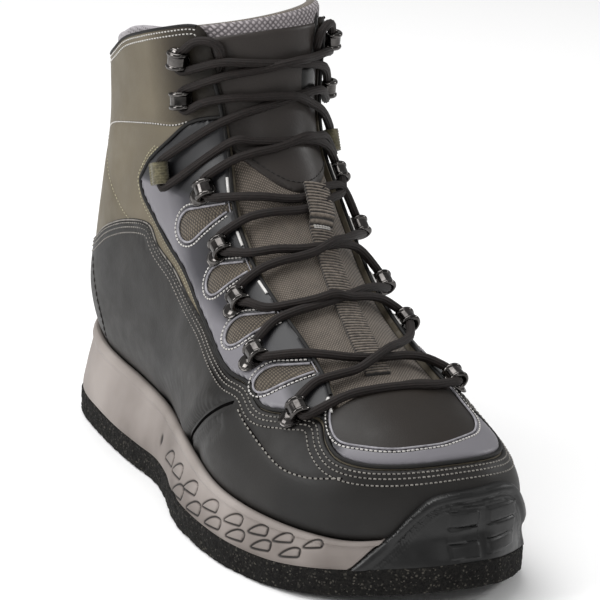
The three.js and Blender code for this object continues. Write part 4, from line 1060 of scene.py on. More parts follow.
def makeSeams():
    low = boot["lowerStep"]
    lowerKeep = np.minimum.reduce([whole["throat"] - 3, whole["rim"] - 2])
    for index, away in enumerate((2.0, 4.0, 6.6)):
        lines = edgeLines(lowerKeep, lambda sheet: sheet["lower"], away, low)
        makeStitches("lower_stitches_%d" % (index + 1), lines, 2.1, 1.0, 0.7, greyThread, "lace")
        makeGrooveShade("lower_groove_%d" % (index + 1), lines)
    stayKeep = np.minimum(whole["throat"] - 1.5, -whole["insert"] - 0.5)
    makeCord("stay_cord", edgeLines(stayKeep, lambda sheet: sheet["stay"], -0.8, 0.75), 0.95, blackBinding, "rubber")
    windowKeep = whole["throat"] - 4.0
    binding = edgeLines(windowKeep, lambda sheet: sheet["window"], 0.1, 1.25)
    makeCord("window_binding", binding, 0.55, paleBinding, "stay")
    dots = edgeLines(windowKeep, lambda sheet: sheet["window"], -1.9, boot["stayTop"])
    makeGrooveShade("window_groove", dots, 0.55)
    makeStitches("window_stitches", dots, 1.9, 1.0, 0.8, paleThread, "lace")
    olive = np.minimum.reduce([whole["throat"] - 3, -whole["lower"] - 0.8, 95 - whole["base"][:, 2] + 60])
    for index, away in enumerate((-2.6, -4.2)):
        lines = edgeLines(olive, lambda sheet: sheet["stay"], away, 0.0)
        makeStitches("olive_stitches_%d" % (index + 1), lines, 1.9, 1.0, 0.7, oliveThread, "lace")
        makeGrooveShade("olive_groove_%d" % (index + 1), lines)
    collarKeep = whole["throat"] - 5
    for index, away in enumerate((2.2, 4.4)):
        lines = edgeLines(collarKeep, lambda sheet: sheet["collar"], away, 0.0)
        makeStitches("collar_stitches_%d" % (index + 1), lines, 2.1, 0.9, 0.7, paleThread, "lace")
        makeGrooveShade("collar_groove_%d" % (index + 1), lines, 0.55)
    collarEdge = edgeLines(collarKeep, lambda sheet: sheet["collar"], 0.5, -0.25)
    makeCord("collar_binding", collarEdge, 0.75, blackBinding, "rubber")
    edgeKeep = np.minimum(whole["collar"] - 4, -whole["insert"] - 1)
    throatEdge = edgeLines(edgeKeep, lambda sheet: sheet["throat"], 1.4, 0.6)
    makeCord("throat_binding", throatEdge, 1.0, blackBinding, "rubber")
    pipingKeep = np.minimum(edgeKeep, whole["stay"] - 2)
    piping = edgeLines(pipingKeep, lambda sheet: sheet["throat"], 3.0, 0.9)
    makeCord("throat_piping", piping, 0.3, paleBinding, "stay")
    counter = edgeLines(np.minimum(lowerKeep, whole["base"][:, 1] - 20), lambda sheet: sheet["lower"], 0.7, low - 0.15)
    makeCord("counter_piping", counter, 0.36, greyThread, "lace")
    insertKeep = whole["throat"] - 3
    makeCord("insert_binding", edgeLines(insertKeep, lambda sheet: sheet["insert"], 0.1, 1.2), 0.5, paleBinding, "stay")
    dots = edgeLines(insertKeep, lambda sheet: sheet["insert"], -1.6, boot["stayTop"])
    makeGrooveShade("insert_groove", dots, 0.55)
    makeStitches("insert_stitches", dots, 2.0, 1.05, 0.75, paleThread, "lace")


makeSeams()


def makeSideSeams():
    kinds = {
        "oliveUpper": (2.1, 0.9, 0.65, paleThread, -0.25), "heelDashes": (3.4, 2.3, 0.7, darkThread, 1.0),
        "vampDots": (2.6, 1.2, 0.85, greyThread, 0.8), "oliveDiagonal": (2.3, 1.4, 0.5, oliveThread, -0.45),
    }
    for name, (pitch, length, width, material, grow) in kinds.items():
        lines = [surfaceLine(seams[name], side) for side in (-1, 1)]
        for line in lines:
            line["grow"] = grow
        makeStitches(name + "_stitches", lines, pitch, length, width, material, "lace")
        if name != "oliveDiagonal":
            makeGrooveShade(name + "_groove", lines, 0.5)
    folds = [surfaceLine(seams["quarterFold"], side) for side in (-1, 1)]
    for line in folds:
        line["grow"] = boot["lowerStep"] - 0.65
    makeGrooveShade("quarter_fold_shadow", folds, 1.0)


makeSideSeams()
print("upper made")


# sole

sole = {"ring": 1100, "feltRing": 640, "wallInset": 0.6, "bumperSink": 3.2}

outlineTable = np.array([ # run, outer, inner, fore
    [0.000, 0.000, 0.000, 0.00], [0.010, 0.227, 0.205, 0.00], [0.038, 0.398, 0.375, 0.00],
    [0.096, 0.489, 0.466, 0.00], [0.176, 0.534, 0.477, 0.00], [0.256, 0.562, 0.466, 0.00],
    [0.337, 0.568, 0.455, 0.00], [0.401, 0.568, 0.455, 0.00], [0.465, 0.567, 0.430, 0.25],
    [0.522, 0.590, 0.418, 0.47], [0.583, 0.594, 0.419, 0.71], [0.657, 0.568, 0.427, 1.00],
    [0.731, 0.560, 0.474, 1.00], [0.795, 0.521, 0.509, 1.00], [0.846, 0.470, 0.517, 1.00],
    [0.894, 0.385, 0.487, 1.00], [0.936, 0.274, 0.419, 1.00], [0.971, 0.145, 0.316, 1.00],
    [0.994, 0.026, 0.222, 1.00], [1.000, -0.103, 0.137, 1.00],
])
wallLevels = np.array([ # share of the wall's height, standing out
    [0.00, 0.0], [0.06, 0.35], [0.12, 0.5], [0.45, 0.4], [0.74, 0.05], [0.79, 0.0], [0.82, 0.35], [0.85, 0.85],
    [0.88, 0.9], [0.94, 0.85], [0.98, 0.5], [1.00, 0.0],
])


def outward(ring):
    way = np.roll(ring, -1, 0)[:, :2] - np.roll(ring, 1, 0)[:, :2]
    return np.stack([way[:, 1], -way[:, 0]], 1) / np.linalg.norm(way, axis=1)[:, None]


def outlineRing(level, inset=0.0, count=sole["ring"]):
    width = widthAt(outlineTable[:, 3])
    y = boot["length"] / 2 - outlineTable[:, 0] * boot["length"]
    outer = np.stack([-outlineTable[:, 1] * width, y], 1)
    inner = np.stack([outlineTable[:, 2] * width, y], 1)[:0:-1]
    ring = evenLine(smoothLine(np.concatenate([outer, inner]), 0.4, closed=True), 0, count + 1)[:-1]
    ring = ring - outward(ring) * inset
    z = level + toeLift(boot["length"] / 2 - ring[:, 1])
    return np.concatenate([ring, z[:, None]], 1)


# Ring where the last, grown, passes the height of the midsole's top edge
def rimRing(grow):
    grown = whole["base"] + whole["lift"] * grow
    value = grown[:, 2] - rimHeight(boot["length"] / 2 - grown[:, 1])
    line = levelLines(whole, value)[0]
    ring = smoothed(line["base"] + line["lift"] * grow, 2)[:-1]
    start = np.argmax(ring[:, 1] - np.abs(ring[:, 0]))
    ring = np.roll(ring, -start, 0)
    if ring[len(ring) // 6, 0] > 0:
        ring = np.roll(ring[::-1], 1, 0)
    return evenLine(np.concatenate([ring, ring[:1]]), 0, sole["ring"] + 1)[:-1]


def loftRings(rings):
    count = len(rings[0])
    points = np.concatenate(rings)
    faces = [gridFaces(len(rings), count, True)]
    rungs = np.arange(count // 2)
    for start, flip in ((0, True), ((len(rings) - 1) * count, False)):
        a, b = start + rungs, start + rungs + 1
        c, d = start + (count - rungs - 1) % count, start + (count - rungs) % count
        cap = np.concatenate([np.stack([a, b, c], 1), np.stack([a, c, d], 1)])
        cap = cap[(cap[:, 0] != cap[:, 1]) & (cap[:, 1] != cap[:, 2]) & (cap[:, 0] != cap[:, 2])]
        faces.append(cap[:, ::-1] if flip else cap)
    faces = np.concatenate(faces)
    corners = points[faces]
    volume = np.einsum("ij,ij->i", corners[:, 0], np.cross(corners[:, 1], corners[:, 2])).sum()
    return points, faces if volume > 0 else faces[:, ::-1]


def softNoise(shape, rounds, seed):
    values = np.random.default_rng(seed).normal(size=shape)
    for _ in range(rounds):
        for axis in range(len(shape)):
            values = (np.roll(values, 1, axis) + 2 * values + np.roll(values, -1, axis)) / 4
    return values / values.std()


def makeFelt():
    levels = [(0, 1.0), (0.25, 0.45), (1.0, 0.0)] + [(z, 0.0) for z in np.linspace(2, 11, 12)]
    levels += [(11.6, 0.15), (12.0, 0.6)]
    count = sole["feltRing"]
    rings = [outlineRing(level, inset, count) for level, inset in levels]
    rough = 0.16 * softNoise((len(rings), count), 1, 3) + 0.12 * softNoise((len(rings), count), 8, 4)
    for index, ring in enumerate(rings):
        ring[:, :2] += outward(ring) * (np.minimum(rough[index], 0.3) - 0.2)[:, None]
    points, faces = loftRings(rings)
    return finishPiece(makeObject("felt_outsole", points, faces, pressedFelt, 60), "felt", "outsole_felt")


makeFelt()

wallFoot = outlineRing(boot["felt"] + boot["gap"], sole["wallInset"])
wallRim = rimRing(boot["lip"])


def wallRing(share, out):
    middle = wallFoot + (wallRim - wallFoot) * share
    middle[:, :2] += outward(middle) * np.broadcast_to(out, len(middle))[:, None]
    return middle


# The grooves of the midsole's side: D shapes in two staggered rows, point towards the heel, and a dimple
grooves = {
    "outline": [(-7.2, -2.1), (-3.8, 0.9), (1.0, 3.3), (5.1, 3.7), (6.8, 2.4), (6.0, -0.9), (3.0, -1.6), (-4.9, -2.4)],
    "wallTall": 20.0,                       # height of wall that the outline is drawn for
    "top": (150, 168, 190, 212, 231, 247, 261, 274), "topShares": (0.36, 0.70),
    "bottom": (176, 198, 217, 234, 250, 265), "bottomShares": (0.13, 0.30),
    "width": 0.5, "depth": 0.75, "dimple": (130, 0.42, 1.5),
}


def grooveRelief(shares):
    middle = wallRing(0.5, 0)
    tall = wallRim[:, 2] - wallFoot[:, 2]
    steps = np.linalg.norm(np.diff(np.concatenate([middle, middle[:1]]), axis=0), axis=1)
    along = np.concatenate([[0], np.cumsum(steps)[:-1]])
    run = boot["length"] / 2 - middle[:, 1]
    relief = np.zeros((len(shares), len(middle)))
    up = shares[:, None] * tall[None, :]
    for side in (-1, 1):
        onSide = np.where(middle[:, 0] * side > 0, 0, far)
        for name in ("top", "bottom"):
            runs, ends = grooves[name], grooves[name + "Shares"]
            for index, place in enumerate(runs):
                share = ends[0] + (ends[1] - ends[0]) * index / (len(runs) - 1)
                centre = np.argmin(np.abs(run - place) + onSide)
                size = tall[centre] / grooves["wallTall"]
                near = np.abs(along - along[centre]) < 14
                s = np.broadcast_to((along[near] - along[centre]) * -side, (len(shares), near.sum()))
                shape = smoothLine(np.array(grooves["outline"]) * size, 0.5, closed=True)
                away = polygonDistance(s, up[:, near] - share * tall[centre], shape)
                cut = grooves["depth"] * np.exp(-(away / grooves["width"]) ** 2)
                relief[:, near] -= cut - 0.22 * np.clip(away / 0.8, 0, 1)
        place, share, radius = grooves["dimple"]
        centre = np.argmin(np.abs(run - place) + onSide)
        away = np.hypot(along - along[centre], (up - share * tall[centre]) * 0.6)
        relief -= 0.9 * np.exp(-(away / radius) ** 2)
    return relief


def frontOutline(table):
    line = np.stack([table[:, 0] * boot["ballWidth"], height(table[:, 1]) + 0.7 * boot["toeSpring"]], 1)
    line = smoothLine(line, 1.0)
    return np.concatenate([line, [[line[-1, 0], -20], [line[0, 0], -20]]])


bumperTable = np.array([
    [-0.316, -0.093], [-0.248, -0.026], [-0.188, 0.029], [-0.128, 0.099], [-0.073, 0.146], [-0.026, 0.168],
    [0.043, 0.179], [0.137, 0.183], [0.256, 0.187], [0.325, 0.165], [0.376, 0.106], [0.419, 0.032], [0.462, -0.085],
])
blockColumns = [[0.017, 0.137], [0.175, 0.316]]
blockRows = [[-0.023, 0.018], [0.024, 0.068], [0.075, 0.122]]
bumperBack = 0.84


def makeMidsole():
    shares = np.concatenate([np.linspace(0, 0.78, 40), np.linspace(0.8, 1.0, 11)])
    relief = grooveRelief(shares)
    outs = np.interp(shares, wallLevels[:, 0], wallLevels[:, 1])[:, None] + relief
    outline = frontOutline(bumperTable)
    rings = []
    for share, out in zip(shares, outs):
        ring = wallRing(share, out)
        inside = polygonDistance(ring[:, 0], ring[:, 2], outline)
        inside = np.where(boot["length"] / 2 - ring[:, 1] > bumperBack * boot["length"] - 6, inside, -9)
        sink = sole["bumperSink"] * np.clip(inside / 0.7 + 0.8, 0, 1)
        rings.append(wallRing(share, out - sink))
    top = rings[-1]
    inner = rimRing(boot["lowerStep"] + 0.15)
    for share, drop in ((0.35, -0.05), (0.8, 0.15), (1.0, 0.5)):
        ring = top + (inner - top) * share
        ring[:, 2] -= drop
        rings.append(ring)
    deep = inner.copy()
    deep[:, 2] = np.maximum(inner[:, 2] - 6, wallFoot[:, 2] + 1)
    rings.append(deep)
    rings.insert(0, rings[0] - [0, 0, 0.2])
    points, faces = loftRings(rings)
    piece = makeObject("eva_midsole", points, faces, mouldedEva, 40)
    # Depth of each side groove, which the foam's painted shade darkens by
    sunk = np.clip(-relief / grooves["depth"] - 0.15, 0, 1).ravel()
    addValue(piece, "groove", np.concatenate([np.zeros(sole["ring"]), sunk, np.zeros(4 * sole["ring"])]))
    return finishPiece(piece, "midsole", "midsole")


makeMidsole()


# toe bumper, on rays from an upright axis inside the toe

bumper = {
    "axis": (6.0, -96.0), "turns": (-86, 88), "columns": 190, "low": 11.0, "high": 58.0, "rows": 74,
    "thick": 2.6, "frame": 3.6, "rib": 0.9, "block": 0.7, "groove": 0.3, "rayStart": 120,
}


def makeBumper():
    wall = loftRings([wallRing(0, 0) - [0, 0, 20], wallRing(0, 0), wallRing(1, 0)])
    toe = makeSheet(evenRows(0, 8, 2.0), skinAngles)
    grown = toe["base"] + toe["lift"] * (boot["lowerStep"] + boot["gap"] + bumper["thick"])
    trees = [BVHTree.FromPolygons(points.tolist(), faces.tolist()) for points, faces in (wall, (grown, toe["faces"]))]
    turns = np.radians(np.linspace(*bumper["turns"], bumper["columns"]))
    heights = np.linspace(bumper["high"], bumper["low"], bumper["rows"])
    axis = Vector((*bumper["axis"], 0))
    radii = np.zeros((len(heights), len(turns)))
    for j, turn in enumerate(turns):
        way = Vector((math.sin(turn), -math.cos(turn), 0))
        last = 0
        for i, z in enumerate(heights):
            start = axis + way * bumper["rayStart"] + Vector((0, 0, z))
            hits = [tree.ray_cast(start, -way, bumper["rayStart"] - 40)[3] for tree in trees]
            last = max([bumper["rayStart"] - hit for hit in hits if hit] or [last])
            radii[i, j] = last
    for _ in range(16):
        padded = np.pad(radii, 1, mode="edge")
        radii = (padded[:-2, 1:-1] + padded[2:, 1:-1] + padded[1:-1, :-2] + padded[1:-1, 2:] + 4 * radii) / 8
    z, turn = np.meshgrid(heights, turns, indexing="ij")
    out = np.stack([np.sin(turn), -np.cos(turn), 0 * turn], -1)
    base = np.stack([bumper["axis"][0] + 0 * z, bumper["axis"][1] + 0 * z, z], -1) + out * radii[..., None]
    x, run = base[..., 0], boot["length"] / 2 - base[..., 1]
    edge = polygonDistance(x, z, frontOutline(bumperTable))
    blocks = np.full(x.shape, -9.0)
    for left, right in np.array(blockColumns) * boot["ballWidth"]:
        for low, high in height(np.array(blockRows)) + 0.7 * boot["toeSpring"]:
            slant = (x - 10) * 0.03
            blocks = np.maximum(blocks, np.minimum.reduce([x - left, right - x, z - slant - low, high - z + slant]))
    floor = z - (boot["felt"] + boot["gap"] + toeLift(run))
    back = run - bumperBack * boot["length"]
    frame = bumper["rib"] * rounded(np.minimum(edge, bumper["frame"] - edge), 1.4)
    lines = 0.45 * (np.exp(-((edge - 4.5) / 0.4) ** 2) + np.exp(-((edge - 6.0) / 0.4) ** 2))
    between = bumper["groove"] * np.clip(-blocks / 0.5, 0, 1) * (edge > 7)
    relief = frame - lines + bumper["block"] * rounded(blocks, 0.6) - between
    relief = relief - 0.8 * (1 - rounded(edge, 1.2))
    sheet = {"base": base.reshape(-1, 3), "lift": out.reshape(-1, 3), "relief": relief.ravel()}
    sheet["faces"] = faceOut(gridFaces(len(heights), len(turns)), sheet["base"], sheet["lift"])
    sheet = trimSheet(sheet, np.minimum.reduce([edge, floor + 0.5, back]).ravel())
    piece = makePanel("rubber_toe_bumper", sheet, sheet["relief"], -3.4, mouldedRubber, values=(), smooth=45)
    return finishPiece(piece, "rubber", "toe_bumper")


makeBumper()
print("sole made")


# tongue: a padded mesh sheet with a leather panel over its upper half and a knitted rim

tongue = {
    "starts": (3.9, 3.9), "ends": (16.8, 17.4), "rows": 172, "columns": 64, "pad": 0.9,
    "panelLow": 9.32, "panelMiddle": 5.0, "panelCurve": 0.00208, "panelPad": 1.5, "rimRows": 0.85,
}


def frontSheet(starts, ends, widen, rows, columns):
    along = np.linspace(0, 1, rows)[:, None]
    across = np.linspace(0, 1, columns)[None, :]
    low = starts[0] + (starts[1] - starts[0]) * across
    high = ends[0] + (ends[1] - ends[0]) * across
    row = low + (high - low) * along
    throat = lookUp(throatTable, row) * boot["heelWidth"]
    x = -throat[..., 1] - widen + (throat[..., 1] + throat[..., 2] + 2 * widen) * across
    angle = frontAngle(row, x)
    base = lastPoint(row, angle)
    lift = lastPoint(row, angle, 1.0) - base
    sheet = {"base": base.reshape(-1, 3), "lift": lift.reshape(-1, 3), "row": row.ravel(), "x": x.ravel()}
    sheet["across"] = np.broadcast_to(across, row.shape).ravel()
    sheet["along"] = np.broadcast_to(along, row.shape).ravel()
    steps = np.linalg.norm(np.diff(base[:, columns // 2], axis=0), axis=1)
    length = np.concatenate([[0], np.cumsum(steps)])
    sheet["length"] = np.broadcast_to(length[:, None], row.shape).ravel()
    sheet["faces"] = faceOut(gridFaces(rows, columns), sheet["base"], sheet["lift"])
    return sheet


tongueSheet = frontSheet(tongue["starts"], tongue["ends"], boot["tongueTuck"], tongue["rows"], tongue["columns"])


def panelEdge(x):
    return tongue["panelLow"] + tongue["panelCurve"] * (x - tongue["panelMiddle"]) ** 2


def makeTongue():
    sheet = tongueSheet
    side = np.minimum(sheet["across"], 1 - sheet["across"])
    pad = tongue["pad"] * np.clip(side / 0.25, 0, 1) ** 0.5
    ends = rounded(np.minimum(sheet["along"], 1 - sheet["along"]) * 220, 4)
    top = boot["tongueTop"] - 2.0 + (2.0 + pad) * ends
    bottom = boot["tongueTop"] - boot["tongueThickness"] - pad * ends
    piece = makePanel("tongue_mesh", sheet, top, bottom, tongueMesh, values=(), smooth=60)
    addUv(piece, np.tile(np.stack([sheet["x"], sheet["length"]], 1) * metre, (2, 1)))
    finishPiece(piece, "mesh", "tongue")

    rim = trimSheet(sheet, sheet["along"] - 0.93)
    ends = rounded((1 - rim["along"]) * 220, 3.5)
    pad = tongue["pad"] * np.clip(np.minimum(rim["across"], 1 - rim["across"]) / 0.25, 0, 1) ** 0.5
    top = boot["tongueTop"] - 2.4 + (3.1 + pad) * ends
    piece = makePanel("tongue_rim", rim, top, boot["tongueTop"] - 2.6, rimMesh, values=(), smooth=60)
    finishPiece(piece, "lining")

    over = (sheet["row"] - panelEdge(sheet["x"])) * 15
    limit = (0.957 - sheet["along"]) * 230
    edges = (np.minimum(sheet["across"], 1 - sheet["across"]) - 0.07) * 75
    keep = np.minimum.reduce([over, limit, edges])
    sheet = dict(sheet, keep=keep, over=over)
    panel = trimSheet(sheet, keep)
    side = np.minimum(panel["across"], 1 - panel["across"])
    pad = tongue["pad"] * np.clip(side / 0.25, 0, 1) ** 0.5
    top = boot["tongueTop"] + pad + 0.2 + tongue["panelPad"] * rounded(panel["keep"], 5.0)
    piece = makePanel("tongue_panel", panel, top, boot["tongueTop"] + pad - 1.2, tongueLeather, values=(), smooth=60)
    finishPiece(piece, "leather")
    lines = levelLines(panel, panel["over"], 3.2)[:1]
    for line in lines:
        line["grow"] = boot["tongueTop"] + tongue["pad"] + 0.2 + tongue["panelPad"] * 0.93
        makeStitches("tongue_stitches", lines, 2.6, 1.8, 0.6, darkThread, "lace")


makeTongue()

strap = {"start": 4.75, "end": 9.36, "middle": (0.016, 0.125), "width": 12.5, "rib": 1.6, "ribHeight": 0.8,
         "top": -1.35, "thick": 1.2, "keeper": (8.42, 8.62), "keeperTop": 2.9}


def makeStrap():
    rows, columns = 520, 15
    along = np.linspace(0, 1, rows)[:, None]
    across = np.linspace(-1, 1, columns)[None, :]
    row = strap["start"] + (strap["end"] - strap["start"]) * along + 0 * across
    middle = (strap["middle"][0] + (strap["middle"][1] - strap["middle"][0]) * along) * boot["heelWidth"]
    centre = lastPoint(row[:, 0], frontAngle(row[:, 0], middle[:, 0]))
    length = np.concatenate([[0], np.cumsum(np.linalg.norm(np.diff(centre, axis=0), axis=1))])[:, None]
    wave = np.abs(np.sin(np.pi * length / strap["rib"]))
    x = middle + across * (strap["width"] / 2 + 0.25 * wave)
    angle = frontAngle(row, x)
    base = lastPoint(row, angle)
    lift = lastPoint(row, angle, 1.0) - base
    edge = rounded((1 - np.abs(across)) * strap["width"] / 2 + 0.3, 1.2)
    over = np.clip((row - strap["keeper"][0]) / (strap["keeper"][1] - strap["keeper"][0]), 0, 1)
    level = strap["top"] + (strap["keeperTop"] - strap["top"]) * over * over * (3 - 2 * over)
    top = level + strap["ribHeight"] * (wave * edge - 0.5) + 0 * across
    sheet = {"base": base.reshape(-1, 3), "lift": lift.reshape(-1, 3)}
    sheet["faces"] = faceOut(gridFaces(rows, columns), sheet["base"], sheet["lift"])
    bottom = (level - strap["thick"]).ravel()
    piece = makePanel("tongue_webbing", sheet, top.ravel(), bottom, greyWebbing, values=())
    # Depth between the ribs, which the webbing's painted shade darkens by
    addValue(piece, "groove", np.tile((1 - wave * edge).ravel(), 2))
    finishPiece(piece, "webbing", "tongue_strap")
    tack = np.argmin(np.abs(row[:, 0] - strap["keeper"][0] + 0.03))
    lines = []
    for offset in (0, 5):
        line = {"base": base[tack + offset, 2:-2], "lift": lift[tack + offset, 2:-2]}
        line["grow"] = strap["top"] + 0.45
        lines.append(line)
    makeStitches("webbing_tack", lines, 1.5, 1.1, 0.75, paleThread, "lace")


# Ribbed polyester webbing: thick cross ribs of grey brown yarn, matt, with painted shade down between them
def webbingMaterial(name, dark, light):
    material, tree, shader, coords = newMaterial(name, {"Roughness": 0.8, "Sheen Weight": 0.25})
    sunk = addNode(tree, "ShaderNodeAttribute", {"attribute_name": "groove"})
    uneven = addNode(tree, "ShaderNodeMath", {"operation": "MULTIPLY_ADD", 1: -0.75},
                   {0: sunk.outputs["Fac"], 2: noiseAt(tree, coords, 2.2, 4, 0.7)})
    tone = rampBetween(tree, uneven.outputs["Value"], [(-0.0, "1a1715"), (0.3, dark), (0.7, light)])
    tree.links.new(tone, shader.inputs["Base Color"])
    bumpFrom(tree, shader, noiseAt(tree, coords, 0.7, 2), 0.15, 0.8)
    return material


greyWebbing = webbingMaterial("greyWebbing", "5d544b", "8f8478")
oliveWebbing = webbingMaterial("oliveWebbing", "35301f", "6f694f")
blackWebbing = webbingMaterial("blackWebbing", "141312", "2a2826")

makeStrap()
print("tongue made")


# padded collar inside the shaft

lining = {"steps": 150, "turn": 110, "rise": 8.6, "riseFront": 0.4, "depth": 36, "front": 0.36, "lowest": 12,
          "thick": 4.0, "pad": 1.6}


def makeLining():
    edge = sideLine(collarTable, False)
    turns = np.radians(np.linspace(-lining["turn"], lining["turn"], lining["steps"]))
    part = np.abs(turns) / np.radians(lining["turn"])
    rise = lining["riseFront"] + (lining["rise"] - lining["riseFront"]) * np.clip((1 - part) / 0.42, 0, 1)
    rise = smoothed(np.stack([rise, turns], 1), 6)[:, 0]

    def above(point):
        run = np.minimum(boot["length"] / 2 - point[:, 1], lining["front"] * boot["length"])
        return point[:, 2] - np.interp(run, edge[:, 0], edge[:, 1])

    def rowAt(level, grow):
        low, high = np.full(len(turns), float(lining["lowest"])), np.full(len(turns), float(lastRow))
        for _ in range(30):
            middle = (low + high) / 2
            below = above(lastPoint(middle, turns, grow)) < level
            low, high = np.where(below, middle, low), np.where(below, high, middle)
        return low

    half = lining["thick"] / 2
    profile = [(level, -half) for level in np.linspace(0, 1, 14)]
    profile += [(1, half * math.cos(turn) * -1, half * math.sin(turn)) for turn in np.linspace(0.25, math.pi - 0.25, 9)]
    profile += [(level, half) for level in np.linspace(1, 0, 14)]
    rings = []
    for place in profile:
        level, side = place[:2]
        extra = place[2] if len(place) > 2 else 0
        target = -lining["depth"] + (rise - half + lining["depth"]) * level + extra
        bulge = lining["pad"] * math.sin(math.pi * min(level * 1.05, 1)) ** 0.7 if side > 0 else 0
        grow = boot["tongueTop"] - half - side - bulge
        point = lastPoint(rowAt(target, grow), turns, grow)
        # the last ends short of the collar's top, so the rest goes straight up
        point[:, 2] += np.maximum(target - above(point), 0)
        rings.append(point)
    points = np.stack(rings, 1).reshape(-1, 3)
    size = len(profile)
    faces = [gridFaces(len(turns), size, True)]
    for start, flip in ((0, False), ((len(turns) - 1) * size, True)):
        fan = np.stack([np.full(size - 2, start), start + np.arange(1, size - 1), start + np.arange(2, size)], 1)
        faces.append(fan[:, ::-1] if flip else fan)
    faces = np.concatenate(faces)
    corners = points[faces]
    if np.einsum("ij,ij->i", corners[:, 0], np.cross(corners[:, 1], corners[:, 2])).sum() < 0:
        faces = faces[:, ::-1]
    piece = makeObject("collar_padding", points, faces, collarMesh, 60)
    return finishPiece(piece, "lining", "collar_lining")


makeLining()


# black stay strip and pull loop at the heel back

backStay = {"half": 7.5, "low": 0.58, "high": 0.97, "thick": 1.4}
# padded front of the collar on the inner side: glossy black, beside the tongue

collarFront = {"wide": 15.0, "low": 184.0, "pad": 3.4, "round": 5.0}


def makeCollarFront():
    place = whole["base"]
    edge = np.minimum.reduce([whole["throat"] + collarFront["wide"], -1.0 - whole["throat"],
                              place[:, 2] - collarFront["low"], whole["collar"] + 6])
    sheet = dict(whole)
    sheet["front"] = np.where(place[:, 0] > 0, edge, -9.0)
    sheet = trimSheet(sheet, sheet["front"])
    pad = collarFront["pad"] * rounded(sheet["front"], collarFront["round"])
    top = boot["tongueTop"] + 0.4 + pad
    piece = makePanel("collar_front_inner", sheet, top, boot["tongueTop"] - 1.0, blackLeather)
    return finishPiece(piece, "leather")


makeCollarFront()


pullLoop = {"outline": [(0, 1.02), (2.6, 1.00), (4.6, 1.06), (5.8, 1.2), (4.8, 1.33), (2.6, 1.385), (0, 1.35)],
            "width": 15, "thick": 1.4, "row": 15.5, "seat": 1.2}


def makeBackStay():
    zLow, zHigh = height(backStay["low"]), height(backStay["high"])
    side = np.minimum(backStay["half"] - np.abs(whole["across"]), 30.0)
    keep = np.minimum.reduce([side, whole["base"][:, 2] - zLow, zHigh - whole["base"][:, 2], whole["base"][:, 1] - 100])
    sheet = trimSheet(dict(whole, keep=keep), keep)
    top = 0.3 + (backStay["thick"] - 0.1) * rounded(sheet["keep"], 1.0)
    piece = makePanel("back_stay", sheet, top, 0.1, blackWebbing, values=())
    return finishPiece(piece, "rubber", "back_strip")


makeBackStay()


def makePullLoop():
    back = lastPoint(pullLoop["row"], 0.0, boot["gap"] + pullLoop["seat"])
    outline = [(back[1] + out, float(height(rise))) for out, rise in pullLoop["outline"]]
    line = smoothLine(np.array(outline), 0.6, closed=True)[:-1]
    count, columns = len(line), 11
    way = outward(np.concatenate([line, np.zeros((count, 1))], 1))
    centre = line.mean(0)
    if ((line - centre) * way).sum() < 0:
        way = -way
    across = np.linspace(-0.5, 0.5, columns) * pullLoop["width"]
    rib = 0.12 * np.cos(np.arange(count) * 2.2)
    sheets = []
    for depth in (0, -pullLoop["thick"]):
        shape = line + way * (depth + (rib[:, None] if depth == 0 else 0))
        sheets.append(np.stack([np.broadcast_to(across, (count, columns)),
                                np.repeat(shape[:, :1], columns, 1), np.repeat(shape[:, 1:], columns, 1)], -1))
    top, bottom = (np.concatenate([sheet, sheet[:1]]) for sheet in sheets)
    ring = np.concatenate([top, bottom[:, ::-1]], 1)[:-1].reshape(-1, 3)
    wide = columns * 2
    i, j = np.meshgrid(np.arange(count), np.arange(wide), indexing="ij")
    a, b = i * wide + j, i * wide + (j + 1) % wide
    c, d = (i + 1) % count * wide + (j + 1) % wide, (i + 1) % count * wide + j
    quads = np.stack([a, b, c, d], -1).reshape(-1, 4)
    faces = np.concatenate([quads[:, [0, 1, 2]], quads[:, [0, 2, 3]]])
    corners = ring[faces]
    if np.einsum("ij,ij->i", corners[:, 0], np.cross(corners[:, 1], corners[:, 2])).sum() < 0:
        faces = faces[:, ::-1]
    return finishPiece(makeObject("heel_pull_loop", ring, faces, blackWebbing, 40), "webbing", "pull_loop")


makePullLoop()
print("collar and pull loop made")


# eyelets

ringTable = [(4.50, 0.440, 4.70, 0.415), (6.10, 0.477, 6.60, 0.385), (7.42, 0.425, 7.80, 0.395),
             (8.76, 0.383, 9.25, 0.410), (10.20, 0.370, 10.70, 0.395)]
loopTable = [(11.65, 0.460, 12.10, 0.410)]
hookTable = [(13.93, 0.405, 14.30, 0.420), (15.60, 0.415, 16.05, 0.430)]
ringPiece = {"wire": 1.2, "bow": 3.9, "high": 3.3, "apart": 3.1, "plate": (7.2, 4.6, 0.9), "plateOut": 2.9,
             "rivet": 4.0, "rivetOut": 5.8, "rivetHigh": 2.2}
hookPiece = {"wire": 1.25, "bow": 4.2, "high": 3.9, "apart": 3.0, "plate": (5.6, 4.6, 0.9), "plateOut": 1.2,
             "rivet": 3.3, "rivetOut": 4.6, "rivetHigh": 1.6}


# Plated steel, dark nickel over a barrel polish: near black with hard bright highlights
def metalMaterial():
    material, tree, shader, coords = newMaterial("darkNickel", {"Metallic": 1.0})
    tone = rampBetween(tree, noiseAt(tree, coords, 5, 3), [(0.3, "3a3837"), (0.7, "63605e")])
    tree.links.new(tone, shader.inputs["Base Color"])
    uneven = addNode(tree, "ShaderNodeMapRange", {"From Min": 0.3, "From Max": 0.7, "To Min": 0.08, "To Max": 0.2},
                   {"Value": noiseAt(tree, coords, 3, 3)})
    tree.links.new(uneven.outputs["Result"], shader.inputs["Roughness"])
    return material


darkNickel = metalMaterial()


def frontBase(row, x, grow):
    return lastPoint(row, frontAngle(np.float64(row), np.float64(x)), grow)


